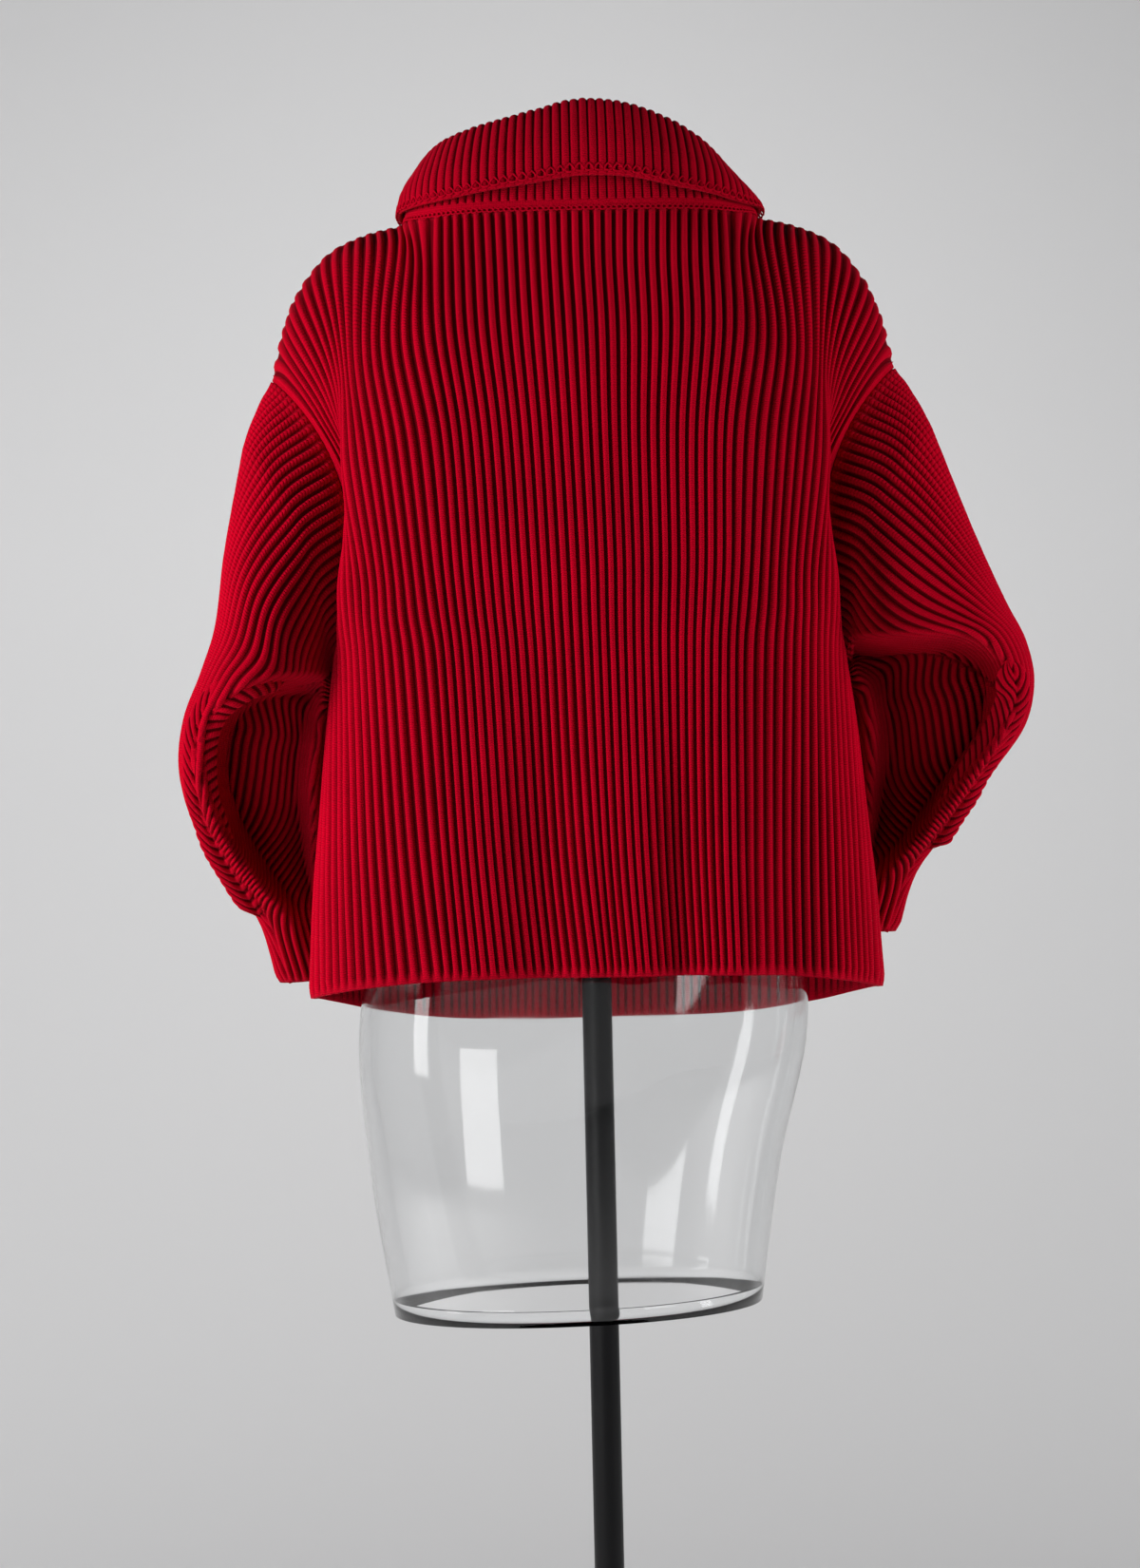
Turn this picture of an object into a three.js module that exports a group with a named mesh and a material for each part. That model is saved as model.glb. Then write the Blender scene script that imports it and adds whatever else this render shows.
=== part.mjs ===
// A chunky ribbed wool sweater with a fold-over collar, on a clear limbless dress form and a pole stand.
// Millimetres, +Z up. The origin is on the floor under the pole. The garment's back faces -Y, and the
// wearer's left is -X. Every cloth piece is a wall: ribs are raised on its outer side, its inside is plain.
import * as THREE from 'three';

// ---- Driving dimensions ---------------------------------------------------------------------------
const WALL = 3;              // cloth thickness under the valleys between the ribs
const RIB_RELIEF = 2;        // how far a rib's crest stands above the valleys beside it
const SEAM_GAP = 0.4;        // clearance between two pieces that are sewn or rest together
const PANEL_RIBS = 35;       // ribs on half a back or half a front, from the centre to the side edge
const COLLAR_RIBS = 64;      // ribs round the whole collar
const SEAM_RELIEF = 0.4;     // share of the rib relief left where ribs run into a seam
const HEM_BAND = 9;          // height of the smooth band that ends the ribs at the hem and the cuffs
const NECKBAND_HEIGHT = 6.5; // the smooth strip between the body and the collar
const NECKBAND_FOOT = 3 * SEAM_GAP;   // its lower edge above the neck seam
const NECKBAND_TOP = NECKBAND_FOOT + NECKBAND_HEIGHT;
const ARMHOLE_GAP = 1;       // clearance between a sleeve and the body at the armhole seam
const UNDERARM_CLEARANCE = 6;   // how far the sleeve stands off the body at the underarm

const YARN = { color: 0xa8001e, roughness: 0.95, metalness: 0 };
const CLEAR_PLASTIC = { color: 0xdfe5e8, roughness: 0.08, metalness: 0, transparent: true, opacity: 0.35 };
const BLACK_STEEL = { color: 0x101010, roughness: 0.45, metalness: 0.6 };

// ---- Small helpers --------------------------------------------------------------------------------
const radians = THREE.MathUtils.degToRad;
const vec = (x, y, z) => new THREE.Vector3(x, y, z);
const mix = (a, b, t) => a.clone().lerp(b, t);
const smooth = THREE.MathUtils.smoothstep;

// A closed loop through four points a quarter turn apart, at the turns 0, 90, 180 and 270 degrees.
function quarterLoop(quarters, turn) {
  const [first, second, third, fourth] = quarters;
  const centre = first.clone().add(second).add(third).add(fourth).multiplyScalar(0.25);
  const cosine = first.clone().sub(third).multiplyScalar(0.5);
  const sine = second.clone().sub(fourth).multiplyScalar(0.5);
  const twice = first.clone().add(third).sub(second).sub(fourth).multiplyScalar(0.25);
  return centre.addScaledVector(cosine, Math.cos(turn))
    .addScaledVector(sine, Math.sin(turn))
    .addScaledVector(twice, Math.cos(2 * turn));
}

// A smooth curve through a short list of points, given back as evenly fine samples.
function smoothLine(points, samples) {
  return new THREE.CatmullRomCurve3(points, false, 'centripetal').getPoints(samples);
}

// The points that lie at the given lengths along a polyline.
function atLengths(line, lengths) {
  const travelled = [0];
  line.forEach((point, i) => i && travelled.push(travelled[i - 1] + point.distanceTo(line[i - 1])));
  let segment = 1;
  return lengths.map((length) => {
    while (segment < line.length - 1 && travelled[segment] < length) segment += 1;
    const span = travelled[segment] - travelled[segment - 1];
    return mix(line[segment - 1], line[segment], (length - travelled[segment - 1]) / span);
  });
}

function lineLength(line) {
  return line.reduce((sum, point, i) => (i ? sum + point.distanceTo(line[i - 1]) : 0), 0);
}

// Vertices and triangles of one closed body.
class Skin {
  constructor() {
    this.points = [];
    this.faces = [];
  }

  // Adds a row of points. Each place in the row is { id, at }, where at orders it along the row.
  row(points, places) {
    return points.map((point, i) => ({ id: this.points.push(point) - 1, at: places[i] }));
  }

  // Fills the strip between two rows. Flipped, it faces the other way.
  strip(rowA, rowB, flipped = false) {
    let a = 0;
    let b = 0;
    while (a < rowA.length - 1 || b < rowB.length - 1) {
      const nextA = a < rowA.length - 1 ? rowA[a + 1].at : Infinity;
      const nextB = b < rowB.length - 1 ? rowB[b + 1].at : Infinity;
      const face = nextA <= nextB
        ? [rowA[a + 1].id, rowA[a].id, rowB[b].id]
        : [rowB[b + 1].id, rowA[a].id, rowB[b].id];
      if (nextA <= nextB) a += 1;
      else b += 1;
      if (new Set(face).size === 3) this.faces.push(flipped ? face.reverse() : face);
    }
  }

  mesh(name, finish) {
    const geometry = new THREE.BufferGeometry();
    geometry.setAttribute('position', new THREE.Float32BufferAttribute(
      this.points.flatMap((point) => point.toArray()), 3));
    geometry.setIndex(this.faces.flat());
    geometry.computeVertexNormals();
    return named(name, geometry, finish);
  }
}

function named(name, geometry, finish) {
  const mesh = new THREE.Mesh(geometry, new THREE.MeshStandardMaterial(finish));
  mesh.name = name;
  return mesh;
}

// ---- Shared seams ---------------------------------------------------------------------------------
// The neck seam, round the neck from the nape: nape, wearer's right, throat, wearer's left.
const NECK_SEAM = [vec(0, -105, 1406), vec(146, -22, 1402), vec(0, 112, 1372), vec(-146, -22, 1402)];
const neckSeam = (turn) => quarterLoop(NECK_SEAM, turn);

// The armhole seam of one side (-1 or 1), from the shoulder's end: shoulder, back, underarm, front.
const ARMHOLE = [vec(263, 10, 1286), vec(199, -62, 1180), vec(207, -3, 1045), vec(199, 72, 1180)];
const armhole = (side, turn) => quarterLoop(ARMHOLE, turn).multiply(vec(side, 1, 1));

// The turns at which the sections of the back and the front end on the armhole, in degrees.
const ARMHOLE_STOPS = [0, 30, 60, 92, 130, 156, 180];

// The armhole seam as the panels' edges follow it, straight from stop to stop.
function armholeEdge(side, turn) {
  const half = Math.sign(Math.sin(turn)) || 1;
  const degrees = THREE.MathUtils.radToDeg(Math.acos(Math.min(1, Math.max(-1, Math.cos(turn)))));
  const after = Math.max(1, ARMHOLE_STOPS.findIndex((stop) => stop >= degrees - 1e-6));
  const [a, b] = [ARMHOLE_STOPS[after - 1], ARMHOLE_STOPS[after]];
  const ends = [a, b].map((stop) => armhole(side, half * radians(stop)));
  return mix(ends[0], ends[1], (degrees - a) / (b - a));
}

// The cloth's outward direction on the armhole seam. At the underarm the body faces the sleeve.
function armholeFacing(side, turn, underarmX) {
  const shoulder = vec(side * 0.95, 0, 0.3);
  const flank = vec(side * 0.15, -Math.sign(Math.sin(turn)), 0);
  const underarm = vec(side * underarmX, 0, 0);
  const ends = Math.cos(turn) > 0 ? shoulder : underarm;
  return flank.multiplyScalar(Math.sin(turn) ** 2).addScaledVector(ends, Math.cos(turn) ** 2).normalize();
}

// The shoulder seam, from the neck out to the armhole.
const SHOULDER = [vec(146, -22, 1402), vec(180, -12, 1397), vec(211, -4, 1387), vec(234, 2, 1364),
  vec(250, 6, 1332), vec(263, 10, 1286)];
const shoulderLine = (side) => smoothLine(SHOULDER.map((p) => vec(side * p.x, p.y, p.z)), 40);

// ---- Back and front -------------------------------------------------------------------------------
// One row for each section across a panel, from just under the shoulder down to the hem. Four points lead
// from the centre line out: the centre, the blade, the flank and the drape fold, then the tuck behind that
// fold. The section ends on the armhole (turn, in degrees) or on the side seam (sideX and sideZ). Ribs is how
// many ribs lie between the centre line and the drape fold.
const BACK_SECTIONS = [
  { mid: [-122, 1364], blade: [116, -104, 1366], flank: [154, -64, 1384], fold: [203, -32, 1379],
    tuck: [240, -26, 1337], turn: 30, ribs: 25 },
  { mid: [-137, 1306], blade: [120, -129, 1304], flank: [160, -113, 1299], fold: [189, -93, 1284],
    tuck: [207, -70, 1261], turn: 60, ribs: 23 },
  { mid: [-146, 1225], blade: [118, -139, 1222], flank: [162, -123, 1216], fold: [197, -94, 1203],
    tuck: [188, -71, 1190], turn: 92, ribs: 25.5 },
  { mid: [-147, 1115], blade: [120, -139, 1114], flank: [168, -119, 1110], fold: [203, -82, 1104],
    tuck: [189, -58, 1099], turn: 130, ribs: 27.5 },
  { mid: [-146, 1080], blade: [122, -137, 1079], flank: [172, -114, 1077], fold: [205, -72, 1073],
    tuck: [197, -42, 1068], turn: 156, ribs: 28.5 },
  { mid: [-144, 1050], blade: [124, -134, 1050], flank: [176, -108, 1049], fold: [207, -62, 1047],
    tuck: [210, -30, 1046], turn: 180, ribs: 29.5 },
  { mid: [-135, 886], blade: [124, -126, 885], flank: [184, -104, 880], fold: [221, -62, 875],
    tuck: [231, -30, 871], sideX: 232, sideZ: 870, ribs: 30 },
  { mid: [-134, 784], blade: [128, -126, 783], flank: [190, -100, 777], fold: [226, -60, 770],
    tuck: [238, -30, 766], sideX: 240, sideZ: 764, ribs: 30 },
];
const FRONT_SECTIONS = [
  { mid: [130, 1336], blade: [98, 112, 1351], flank: [146, 58, 1378], fold: [203, 44, 1377],
    tuck: [240, 43, 1335], turn: 30, ribs: 25 },
  { mid: [143, 1275], blade: [118, 134, 1282], flank: [160, 110, 1292], fold: [190, 94, 1282],
    tuck: [207, 78, 1261], turn: 60, ribs: 23 },
  { mid: [150, 1205], blade: [118, 142, 1208], flank: [163, 125, 1208], fold: [198, 99, 1200],
    tuck: [189, 81, 1190], turn: 92, ribs: 25.5 },
  { mid: [150, 1105], blade: [120, 142, 1106], flank: [168, 122, 1106], fold: [203, 86, 1102],
    tuck: [189, 66, 1099], turn: 130, ribs: 27.5 },
  { mid: [149, 1072], blade: [122, 141, 1073], flank: [172, 117, 1074], fold: [205, 75, 1073],
    tuck: [197, 42, 1068], turn: 156, ribs: 28.5 },
  { mid: [148, 1042], blade: [124, 139, 1043], flank: [176, 112, 1044], fold: [207, 64, 1045],
    tuck: [210, 27, 1045], turn: 180, ribs: 29.5 },
  { mid: [142, 848], blade: [124, 133, 850], flank: [184, 109, 857], fold: [221, 64, 864],
    tuck: [231, 28, 868], sideX: 232, sideZ: 870, ribs: 30 },
  { mid: [141, 733], blade: [128, 132, 736], flank: [190, 104, 746], fold: [222, 64, 756],
    tuck: [237, 28, 762], sideX: 240, sideZ: 764, ribs: 30 },
];
const SIDE_SEAM_Y = -3;
const NECK_RIBS = 16.5;      // ribs on half a panel that end at the neck seam
const STATION_SAMPLES = 12;  // samples between two stations of a section
const FOLD_STATION = 3;

// Soft upright folds low on each panel: where the crest or trough runs, its half width, how far it stands
// out (or in), and the height at which it starts.
const SOFT_FOLDS = {
  back: [{ x: -6, spread: 20, out: 4, top: 980 }, { x: 52, spread: 15, out: -7, top: 1000 },
    { x: 79, spread: 11, out: 5, top: 940 }, { x: 104, spread: 10, out: -5, top: 900 }],
  front: [{ x: 22, spread: 20, out: 5, top: 960 }, { x: -40, spread: 16, out: -6, top: 990 },
    { x: -86, spread: 13, out: 4, top: 920 }],
};
const FOLD_GROWTH = 170;     // the height over which a soft fold reaches its full depth

function softFold(panel, point) {
  return SOFT_FOLDS[panel].reduce((sum, fold) => {
    const across = Math.exp(-(((point.x - fold.x) / fold.spread) ** 2));
    return sum + fold.out * across * smooth(fold.top - point.z, 0, FOLD_GROWTH);
  }, 0);
}

// Half of a section, from the centre line to the side edge, as a fine polyline.
function halfSection(section, side) {
  const stations = [section.blade, section.flank, section.fold, section.tuck];
  const facing = Math.sign(section.mid[0]);
  const end = section.turn === undefined
    ? vec(side * section.sideX, SIDE_SEAM_Y, section.sideZ)
    : armhole(side, -facing * radians(section.turn));
  const line = [vec(0, ...section.mid), ...stations.map(([x, y, z]) => vec(side * x, y, z)), end];
  return smoothLine(line, STATION_SAMPLES * (stations.length + 1));
}

const NECK_SAMPLES = 30;

// Half of a panel's top edge: along the neck seam, then along the shoulder seam.
function halfTop(facing, side) {
  const start = facing < 0 ? 0 : Math.PI;
  const end = side * Math.PI / 2;
  const sweep = facing < 0 ? end : end - side * Math.PI;
  const neck = Array.from({ length: NECK_SAMPLES }, (_, i) => neckSeam(start + sweep * (i / NECK_SAMPLES)));
  const line = [...neck, ...shoulderLine(side)];
  return line.map((point) => point.clone().add(vec(0, facing * SEAM_GAP * 0.7, 0)));
}

// Points along half a section, two to a rib: evenly spaced to a bend in it, and from there to its end.
function ribPoints(line, bend, ribsToBend) {
  const columns = 2 * PANEL_RIBS;
  const bendColumn = 2 * ribsToBend;
  const toBend = lineLength(line.slice(0, bend + 1));
  const beyond = lineLength(line) - SEAM_GAP / 2 - toBend;
  return atLengths(line, Array.from({ length: columns + 1 }, (_, c) => (c <= bendColumn
    ? toBend * c / bendColumn
    : toBend + beyond * (c - bendColumn) / (columns - bendColumn))));
}

// The columns of a panel run along its ribs: two to a rib, so that crests and valleys take turns.
function panelGrid(name, facing, sections) {
  const halves = [-1, 1].map((side) => [
    ribPoints(halfTop(facing, side), NECK_SAMPLES, NECK_RIBS),
    ...sections.map((section) => (
      ribPoints(halfSection(section, side), FOLD_STATION * STATION_SAMPLES, section.ribs))),
  ]);
  const rows = halves[0].map((half, r) => [...half.slice(1).reverse(), ...halves[1][r]]);
  rows.slice(1).forEach((row) => row.forEach((point) => {
    point.y += facing * softFold(name, point);
  }));
  const hem = rows[rows.length - 1];
  const above = rows[rows.length - 2];
  const band = hem.map((point, i) => mix(point, above[i], HEM_BAND / point.distanceTo(above[i])));
  rows.splice(rows.length - 1, 0, band);
  return rows;
}

// Outward directions on a panel's grid, with the shared ones on the seams.
function panelFacings(rows, facing, sections) {
  const last = rows.length - 1;
  const columns = rows[0].length;
  const y = vec(0, 1, 0);
  return rows.map((row, r) => row.map((point, c) => {
    const across = row[Math.min(c + 1, columns - 1)].clone().sub(row[Math.max(c - 1, 0)]);
    const down = rows[Math.min(r + 1, last)][c].clone().sub(rows[Math.max(r - 1, 0)][c]);
    const own = across.clone().cross(down).multiplyScalar(facing).normalize();
    const side = Math.sign(point.x);
    const onEdge = c === 0 || c === columns - 1;
    const onShoulder = r === 0 && Math.abs(point.x) > NECK_SEAM[1].x;
    const section = sections[r - 1];
    if (onEdge && r > 0 && section && section.turn !== undefined) {
      return armholeFacing(side, -facing * radians(section.turn), 1);
    }
    if (onEdge && r === 0) return armholeFacing(side, 0, 1);
    if (onShoulder) return across.cross(y).multiplyScalar(Math.sign(across.x) || 1).normalize();
    if (onEdge) return down.cross(y).multiplyScalar(side).normalize();
    return own;
  }));
}

function ribbedPanel(name, facing, sections) {
  const rows = panelGrid(name, facing, sections);
  const facings = panelFacings(rows, facing, sections);
  const halfColumns = 2 * PANEL_RIBS;
  const fine = halfColumns * 0.66;     // past this column the section bends sharply
  const skin = new Skin();
  const outer = [];
  const inner = [];
  rows.forEach((row, r) => {
    const onSeam = r === 0 || r === rows.length - 1;
    const places = row.map((_, c) => c - halfColumns);
    const relief = (point) => {
      if (r === 0 && Math.abs(point.x) < NECK_SEAM[1].x) return 0;
      return RIB_RELIEF * (onSeam ? SEAM_RELIEF : 1);
    };
    const raised = row.map((point, c) => point.clone()
      .addScaledVector(facings[r][c], places[c] % 2 ? relief(point) : 0));
    const kept = places.filter((c) => c % 2 === 0 && (Math.abs(c) > fine || c % 6 === 0));
    outer.push(skin.row(raised, places));
    inner.push(skin.row(kept.map((c) => row[c + halfColumns].clone()
      .addScaledVector(facings[r][c + halfColumns], -WALL)), kept));
  });
  const flipped = facing < 0;
  const ends = (r) => [[outer[r][0], inner[r][0]], [outer[r].at(-1), inner[r].at(-1)]]
    .map((pair) => pair.map((place, i) => ({ id: place.id, at: i })));
  for (let r = 0; r < rows.length - 1; r += 1) {
    skin.strip(outer[r], outer[r + 1], !flipped);
    skin.strip(inner[r], inner[r + 1], flipped);
    skin.strip(ends(r)[0], ends(r + 1)[0], flipped);
    skin.strip(ends(r)[1], ends(r + 1)[1], !flipped);
  }
  skin.strip(outer[0], inner[0], flipped);
  skin.strip(outer.at(-1), inner.at(-1), !flipped);
  return skin.mesh(name, YARN);
}

// ---- Sleeves --------------------------------------------------------------------------------------
// One row for each ring down a sleeve, x measured outward: the outer point, the inner point, the y of
// both, how deep the ring is to the back and to the front of that, how far its back and front points are
// drawn towards the body (pull) and raised (lift), the turn of the rib that the others are counted from
// (start) and that of the sleeve's own seam (seam), in degrees from the outer point round by the back, and
// the width of a rib (pitch). Start and seam turn with the spiral of the one-piece sleeve.
const SLEEVES = {
  left: { side: -1, ridgeZ: 1029, rimWidth: 36, rings: [
    { outX: 286, outZ: 1228, inX: 226, inZ: 1033, y: 3, back: 83, front: 82, pull: 17, lift: 13,
      start: -50, seam: 176, pitch: 9.3 },
    { outX: 303, outZ: 1140, inX: 230, inZ: 1016, y: 0, back: 92, front: 90, pull: 4, lift: 6,
      start: -78, seam: 150, pitch: 9.3 },
    { outX: 312, outZ: 1078, inX: 232, inZ: 1003, y: 0, back: 93, front: 91, pull: 0, lift: 4,
      start: -104, seam: 118, pitch: 9.3 },
    { outX: 325, outZ: 1040, inX: 234, inZ: 988, y: 1, back: 93, front: 91, pull: 0, lift: 4,
      start: -122, seam: 85, pitch: 9.3 },
    { outX: 341, outZ: 1001, inX: 237, inZ: 969, y: 5, back: 91, front: 90, pull: 0, lift: 0,
      start: -134, seam: 60, pitch: 9.3 },
    { outX: 347, outZ: 962, inX: 240, inZ: 944, y: 15, back: 85, front: 86, pull: 0, lift: 0,
      start: -141, seam: 52, pitch: 9 },
    { outX: 339, outZ: 917, inX: 242, inZ: 914, y: 31, back: 73, front: 75, pull: 0, lift: 0,
      start: -145, seam: 50, pitch: 8.6 },
    { outX: 318, outZ: 875, inX: 242, inZ: 877, y: 52, back: 57, front: 58, pull: 0, lift: 0,
      start: -148, seam: 55, pitch: 8 },
    { outX: 289, outZ: 829, inX: 235, inZ: 832, y: 76, back: 38, front: 39, pull: 0, lift: 0,
      start: -150, seam: 60, pitch: 7.4 },
    { outX: 275, outZ: 773, inX: 225, inZ: 776, y: 93, back: 27, front: 27, pull: 0, lift: 0,
      start: -150, seam: 66, pitch: 6.6 },
  ] },
  right: { side: 1, ridgeZ: 1051, rimWidth: 37, rings: [
    { outX: 291, outZ: 1232, inX: 226, inZ: 1036, y: 3, back: 83, front: 82, pull: 20, lift: 14,
      start: -50, seam: 176, pitch: 9.3 },
    { outX: 326, outZ: 1138, inX: 230, inZ: 1022, y: 0, back: 92, front: 90, pull: 8, lift: 12,
      start: -78, seam: 150, pitch: 9.3 },
    { outX: 350, outZ: 1082, inX: 232, inZ: 1010, y: 0, back: 93, front: 91, pull: 0, lift: 16,
      start: -104, seam: 118, pitch: 9.3 },
    { outX: 365, outZ: 1052, inX: 234, inZ: 998, y: 1, back: 93, front: 91, pull: 0, lift: 14,
      start: -122, seam: 85, pitch: 9.3 },
    { outX: 372, outZ: 1018, inX: 237, inZ: 980, y: 5, back: 91, front: 90, pull: 0, lift: 6,
      start: -134, seam: 60, pitch: 9.3 },
    { outX: 366, outZ: 984, inX: 240, inZ: 958, y: 15, back: 85, front: 86, pull: 0, lift: 0,
      start: -141, seam: 52, pitch: 9 },
    { outX: 342, outZ: 947, inX: 242, inZ: 930, y: 31, back: 73, front: 75, pull: 0, lift: 0,
      start: -145, seam: 50, pitch: 8.6 },
    { outX: 313, outZ: 906, inX: 241, inZ: 896, y: 52, back: 57, front: 58, pull: 0, lift: 0,
      start: -148, seam: 55, pitch: 8 },
    { outX: 278, outZ: 859, inX: 230, inZ: 855, y: 76, back: 37, front: 38, pull: 0, lift: 0,
      start: -150, seam: 60, pitch: 7.4 },
    { outX: 262, outZ: 806, inX: 217, inZ: 808, y: 92, back: 26, front: 26, pull: 0, lift: 0,
      start: -150, seam: 66, pitch: 6.6 },
  ] },
};
const RIDGE_ROUND = 16;           // the height over which the elbow ridge rolls under
const RIM_ROUND = 18;             // the width over which the outer rim rolls in
const DENT_DEPTH = 56;            // how far the cloth under the elbow ridge lies in front of the ridge
const RING_SAMPLES = 240;

// The four quarter points of a ring: outer, back, inner and front.
function ringQuarters(ring, side) {
  const outer = vec(side * ring.outX, ring.y, ring.outZ);
  const inner = vec(side * ring.inX, ring.y, ring.inZ);
  const middle = mix(outer, inner, 0.5).add(vec(-side * ring.pull, 0, ring.lift));
  return [outer, middle.clone().add(vec(0, -ring.back, 0)), inner, middle.clone().add(vec(0, ring.front, 0))];
}

// The first ring follows the armhole seam, a gap outside it and further off the body at the underarm.
function armholeRing(side, turn) {
  const away = quarterLoop([vec(side * 0.3, 0, -1), vec(side, 0, -0.5),
    vec(side * UNDERARM_CLEARANCE / ARMHOLE_GAP, 0, -1), vec(side, 0, -0.5)], turn);
  return armholeEdge(side, turn).addScaledVector(away, ARMHOLE_GAP);
}

// Under the elbow ridge the back of the sleeve is pushed in, as far as the rolled outer rim.
function dent(point, ring, sleeve) {
  const under = smooth(sleeve.ridgeZ - point.z, -RIDGE_ROUND / 4, RIDGE_ROUND * 3 / 4);
  const inside = smooth(ring.outX - sleeve.rimWidth - Math.abs(point.x), -RIM_ROUND / 2, RIM_ROUND / 2);
  const behind = smooth((ring.y - point.y) / ring.back, 0.15, 0.75);
  return DENT_DEPTH * under * inside * behind * smooth(ring.back, 24, 80);
}

function ringPoint(ring, sleeve, turn, dented = true) {
  if (ring.armhole) return armholeRing(sleeve.side, turn);
  const point = quarterLoop(ringQuarters(ring, sleeve.side), turn);
  if (dented) point.y += dent(point, ring, sleeve);
  return point;
}

// A fine closed line round one ring, and the same line before it was dented, from which ribs are spaced.
function ringLine(ring, sleeve) {
  return Array.from({ length: RING_SAMPLES + 1 }, (_, i) => {
    const turn = radians(ring.start) + 2 * Math.PI * i / RING_SAMPLES;
    return { turn, plain: ringPoint(ring, sleeve, turn, false), dented: ringPoint(ring, sleeve, turn) };
  });
}

// Points along part of a ring, evenly spaced on the undented line, from one sample to another.
function ringPart(line, from, to, count) {
  const step = from < to ? 1 : -1;
  const part = [];
  for (let i = from; i !== to + step; i += step) part.push(line[i]);
  const travelled = [0];
  part.forEach((sample, i) => {
    if (i) travelled.push(travelled[i - 1] + sample.plain.distanceTo(part[i - 1].plain));
  });
  let segment = 1;
  return Array.from({ length: count + 1 }, (_, n) => {
    const length = travelled.at(-1) * n / count;
    while (segment < part.length - 1 && travelled[segment] < length) segment += 1;
    const before = part[segment - 1];
    const after = part[segment];
    const share = (length - travelled[segment - 1]) / (travelled[segment] - travelled[segment - 1]);
    return { point: mix(before.dented, after.dented, share), turn: before.turn + (after.turn - before.turn) * share };
  });
}

// Both ways round a ring from the first rib to the sleeve's seam, two points to a rib.
function ringHalves(ring, sleeve) {
  const line = ringLine(ring, sleeve);
  const seamSample = Math.round((ring.seam - ring.start) / 360 * RING_SAMPLES);
  const spacing = (from, to) => {
    let length = 0;
    for (let i = Math.min(from, to); i < Math.max(from, to); i += 1) {
      length += line[i].plain.distanceTo(line[i + 1].plain);
    }
    return 2 * Math.round(length / ring.pitch);
  };
  return [[0, seamSample], [RING_SAMPLES, seamSample]].map(([from, to]) => (
    ringPart(line, from, to, spacing(from, to))));
}

// The outward direction at a ring's points: square to the ring and to the run of the sleeve there.
function ringFacing(ring, next, previous, sleeve, turn) {
  if (ring.armhole) return armholeFacing(sleeve.side, turn, -1);
  const delta = 0.03;
  const round = ringPoint(ring, sleeve, turn + delta).sub(ringPoint(ring, sleeve, turn - delta));
  const down = ringPoint(next || ring, sleeve, turn).sub(ringPoint(previous, sleeve, turn));
  return round.cross(down).multiplyScalar(sleeve.side).normalize();
}

function sleeve(name, shape) {
  const first = { armhole: true, start: -35, seam: 180, pitch: 9.3 };
  const rings = [first, ...shape.rings];
  const cuff = rings.at(-1);
  const above = rings.at(-2);
  const share = HEM_BAND / (above.outZ - cuff.outZ);
  const band = Object.fromEntries(Object.keys(cuff).map((key) => (
    [key, cuff[key] + (above[key] - cuff[key]) * share])));
  rings.splice(rings.length - 1, 0, band);

  const skin = new Skin();
  const built = rings.map((ring, r) => {
    const relief = RIB_RELIEF * (r === 0 || r === rings.length - 1 ? SEAM_RELIEF : 1);
    const halves = ringHalves(ring, shape);
    const facings = halves.map((half) => half.map(({ turn }) => (
      ringFacing(ring, rings[r + 1], rings[r - 1], shape, turn))));
    const place = (half, facing, n, rise) => half[n].point.clone().addScaledVector(facing[n], rise);
    const row = (kept, rise) => {
      const rows = halves.map((half, h) => {
        const picks = half.map((_, n) => n).filter((n) => kept(n) || n === half.length - 1);
        return skin.row(picks.map((n) => place(half, facings[h], n, rise(n, half))), picks);
      });
      rows[1][0].id = rows[0][0].id;
      rows[1].at(-1).id = rows[0].at(-1).id;
      return rows;
    };
    return {
      outer: row(() => true, (n, half) => (n % 2 && n < half.length - 1 ? relief : 0)),
      inner: row((n) => n % 3 === 0, () => -WALL),
    };
  });
  const flipped = shape.side > 0;
  for (let r = 0; r < built.length - 1; r += 1) {
    [false, true].forEach((back, half) => {
      skin.strip(built[r].outer[half], built[r + 1].outer[half], back !== flipped);
      skin.strip(built[r].inner[half], built[r + 1].inner[half], back === flipped);
    });
  }
  [false, true].forEach((back, half) => {
    skin.strip(built[0].outer[half], built[0].inner[half], back === flipped);
    skin.strip(built.at(-1).outer[half], built.at(-1).inner[half], back !== flipped);
  });
  return skin.mesh(name, YARN);
}

// ---- Neckband and collar --------------------------------------------------------------------------
// The level way out from the neck seam at a turn round the neck.
function neckOutward(turn) {
  const delta = 0.01;
  const along = neckSeam(turn + delta).sub(neckSeam(turn - delta));
  return vec(along.y, -along.x, 0).normalize();
}

// A value that changes smoothly round the neck, from those at the nape, the two sides and the throat.
function roundNeck(values, turn) {
  const quarters = [values.nape, values.side, values.throat, values.side].map((value) => vec(value, 0, 0));
  return quarterLoop(quarters, turn).x;
}

// Points round the neck at a distance out from the neck seam and a height above it, or at a set height.
function neckPoint(turn, out, rise) {
  return neckSeam(turn).addScaledVector(neckOutward(turn), out).add(vec(0, 0, rise));
}

function neckRow(skin, count, at) {
  const turns = Array.from({ length: count }, (_, n) => 2 * Math.PI * n / count);
  const row = skin.row(turns.map((turn, n) => at(turn, n)), turns);
  return [...row, { id: row[0].id, at: 2 * Math.PI }];
}

function neckband() {
  const skin = new Skin();
  const segments = 40;
  const corners = [[-SEAM_GAP, NECKBAND_FOOT], [-SEAM_GAP, NECKBAND_TOP], [-WALL, NECKBAND_TOP], [-WALL, NECKBAND_FOOT]];
  const rows = corners.map(([out, rise]) => neckRow(skin, segments, (turn) => neckPoint(turn, out, rise)));
  rows.forEach((row, i) => skin.strip(row, rows[(i + 1) % rows.length], true));
  return skin.mesh('neckband', YARN);
}

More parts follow.
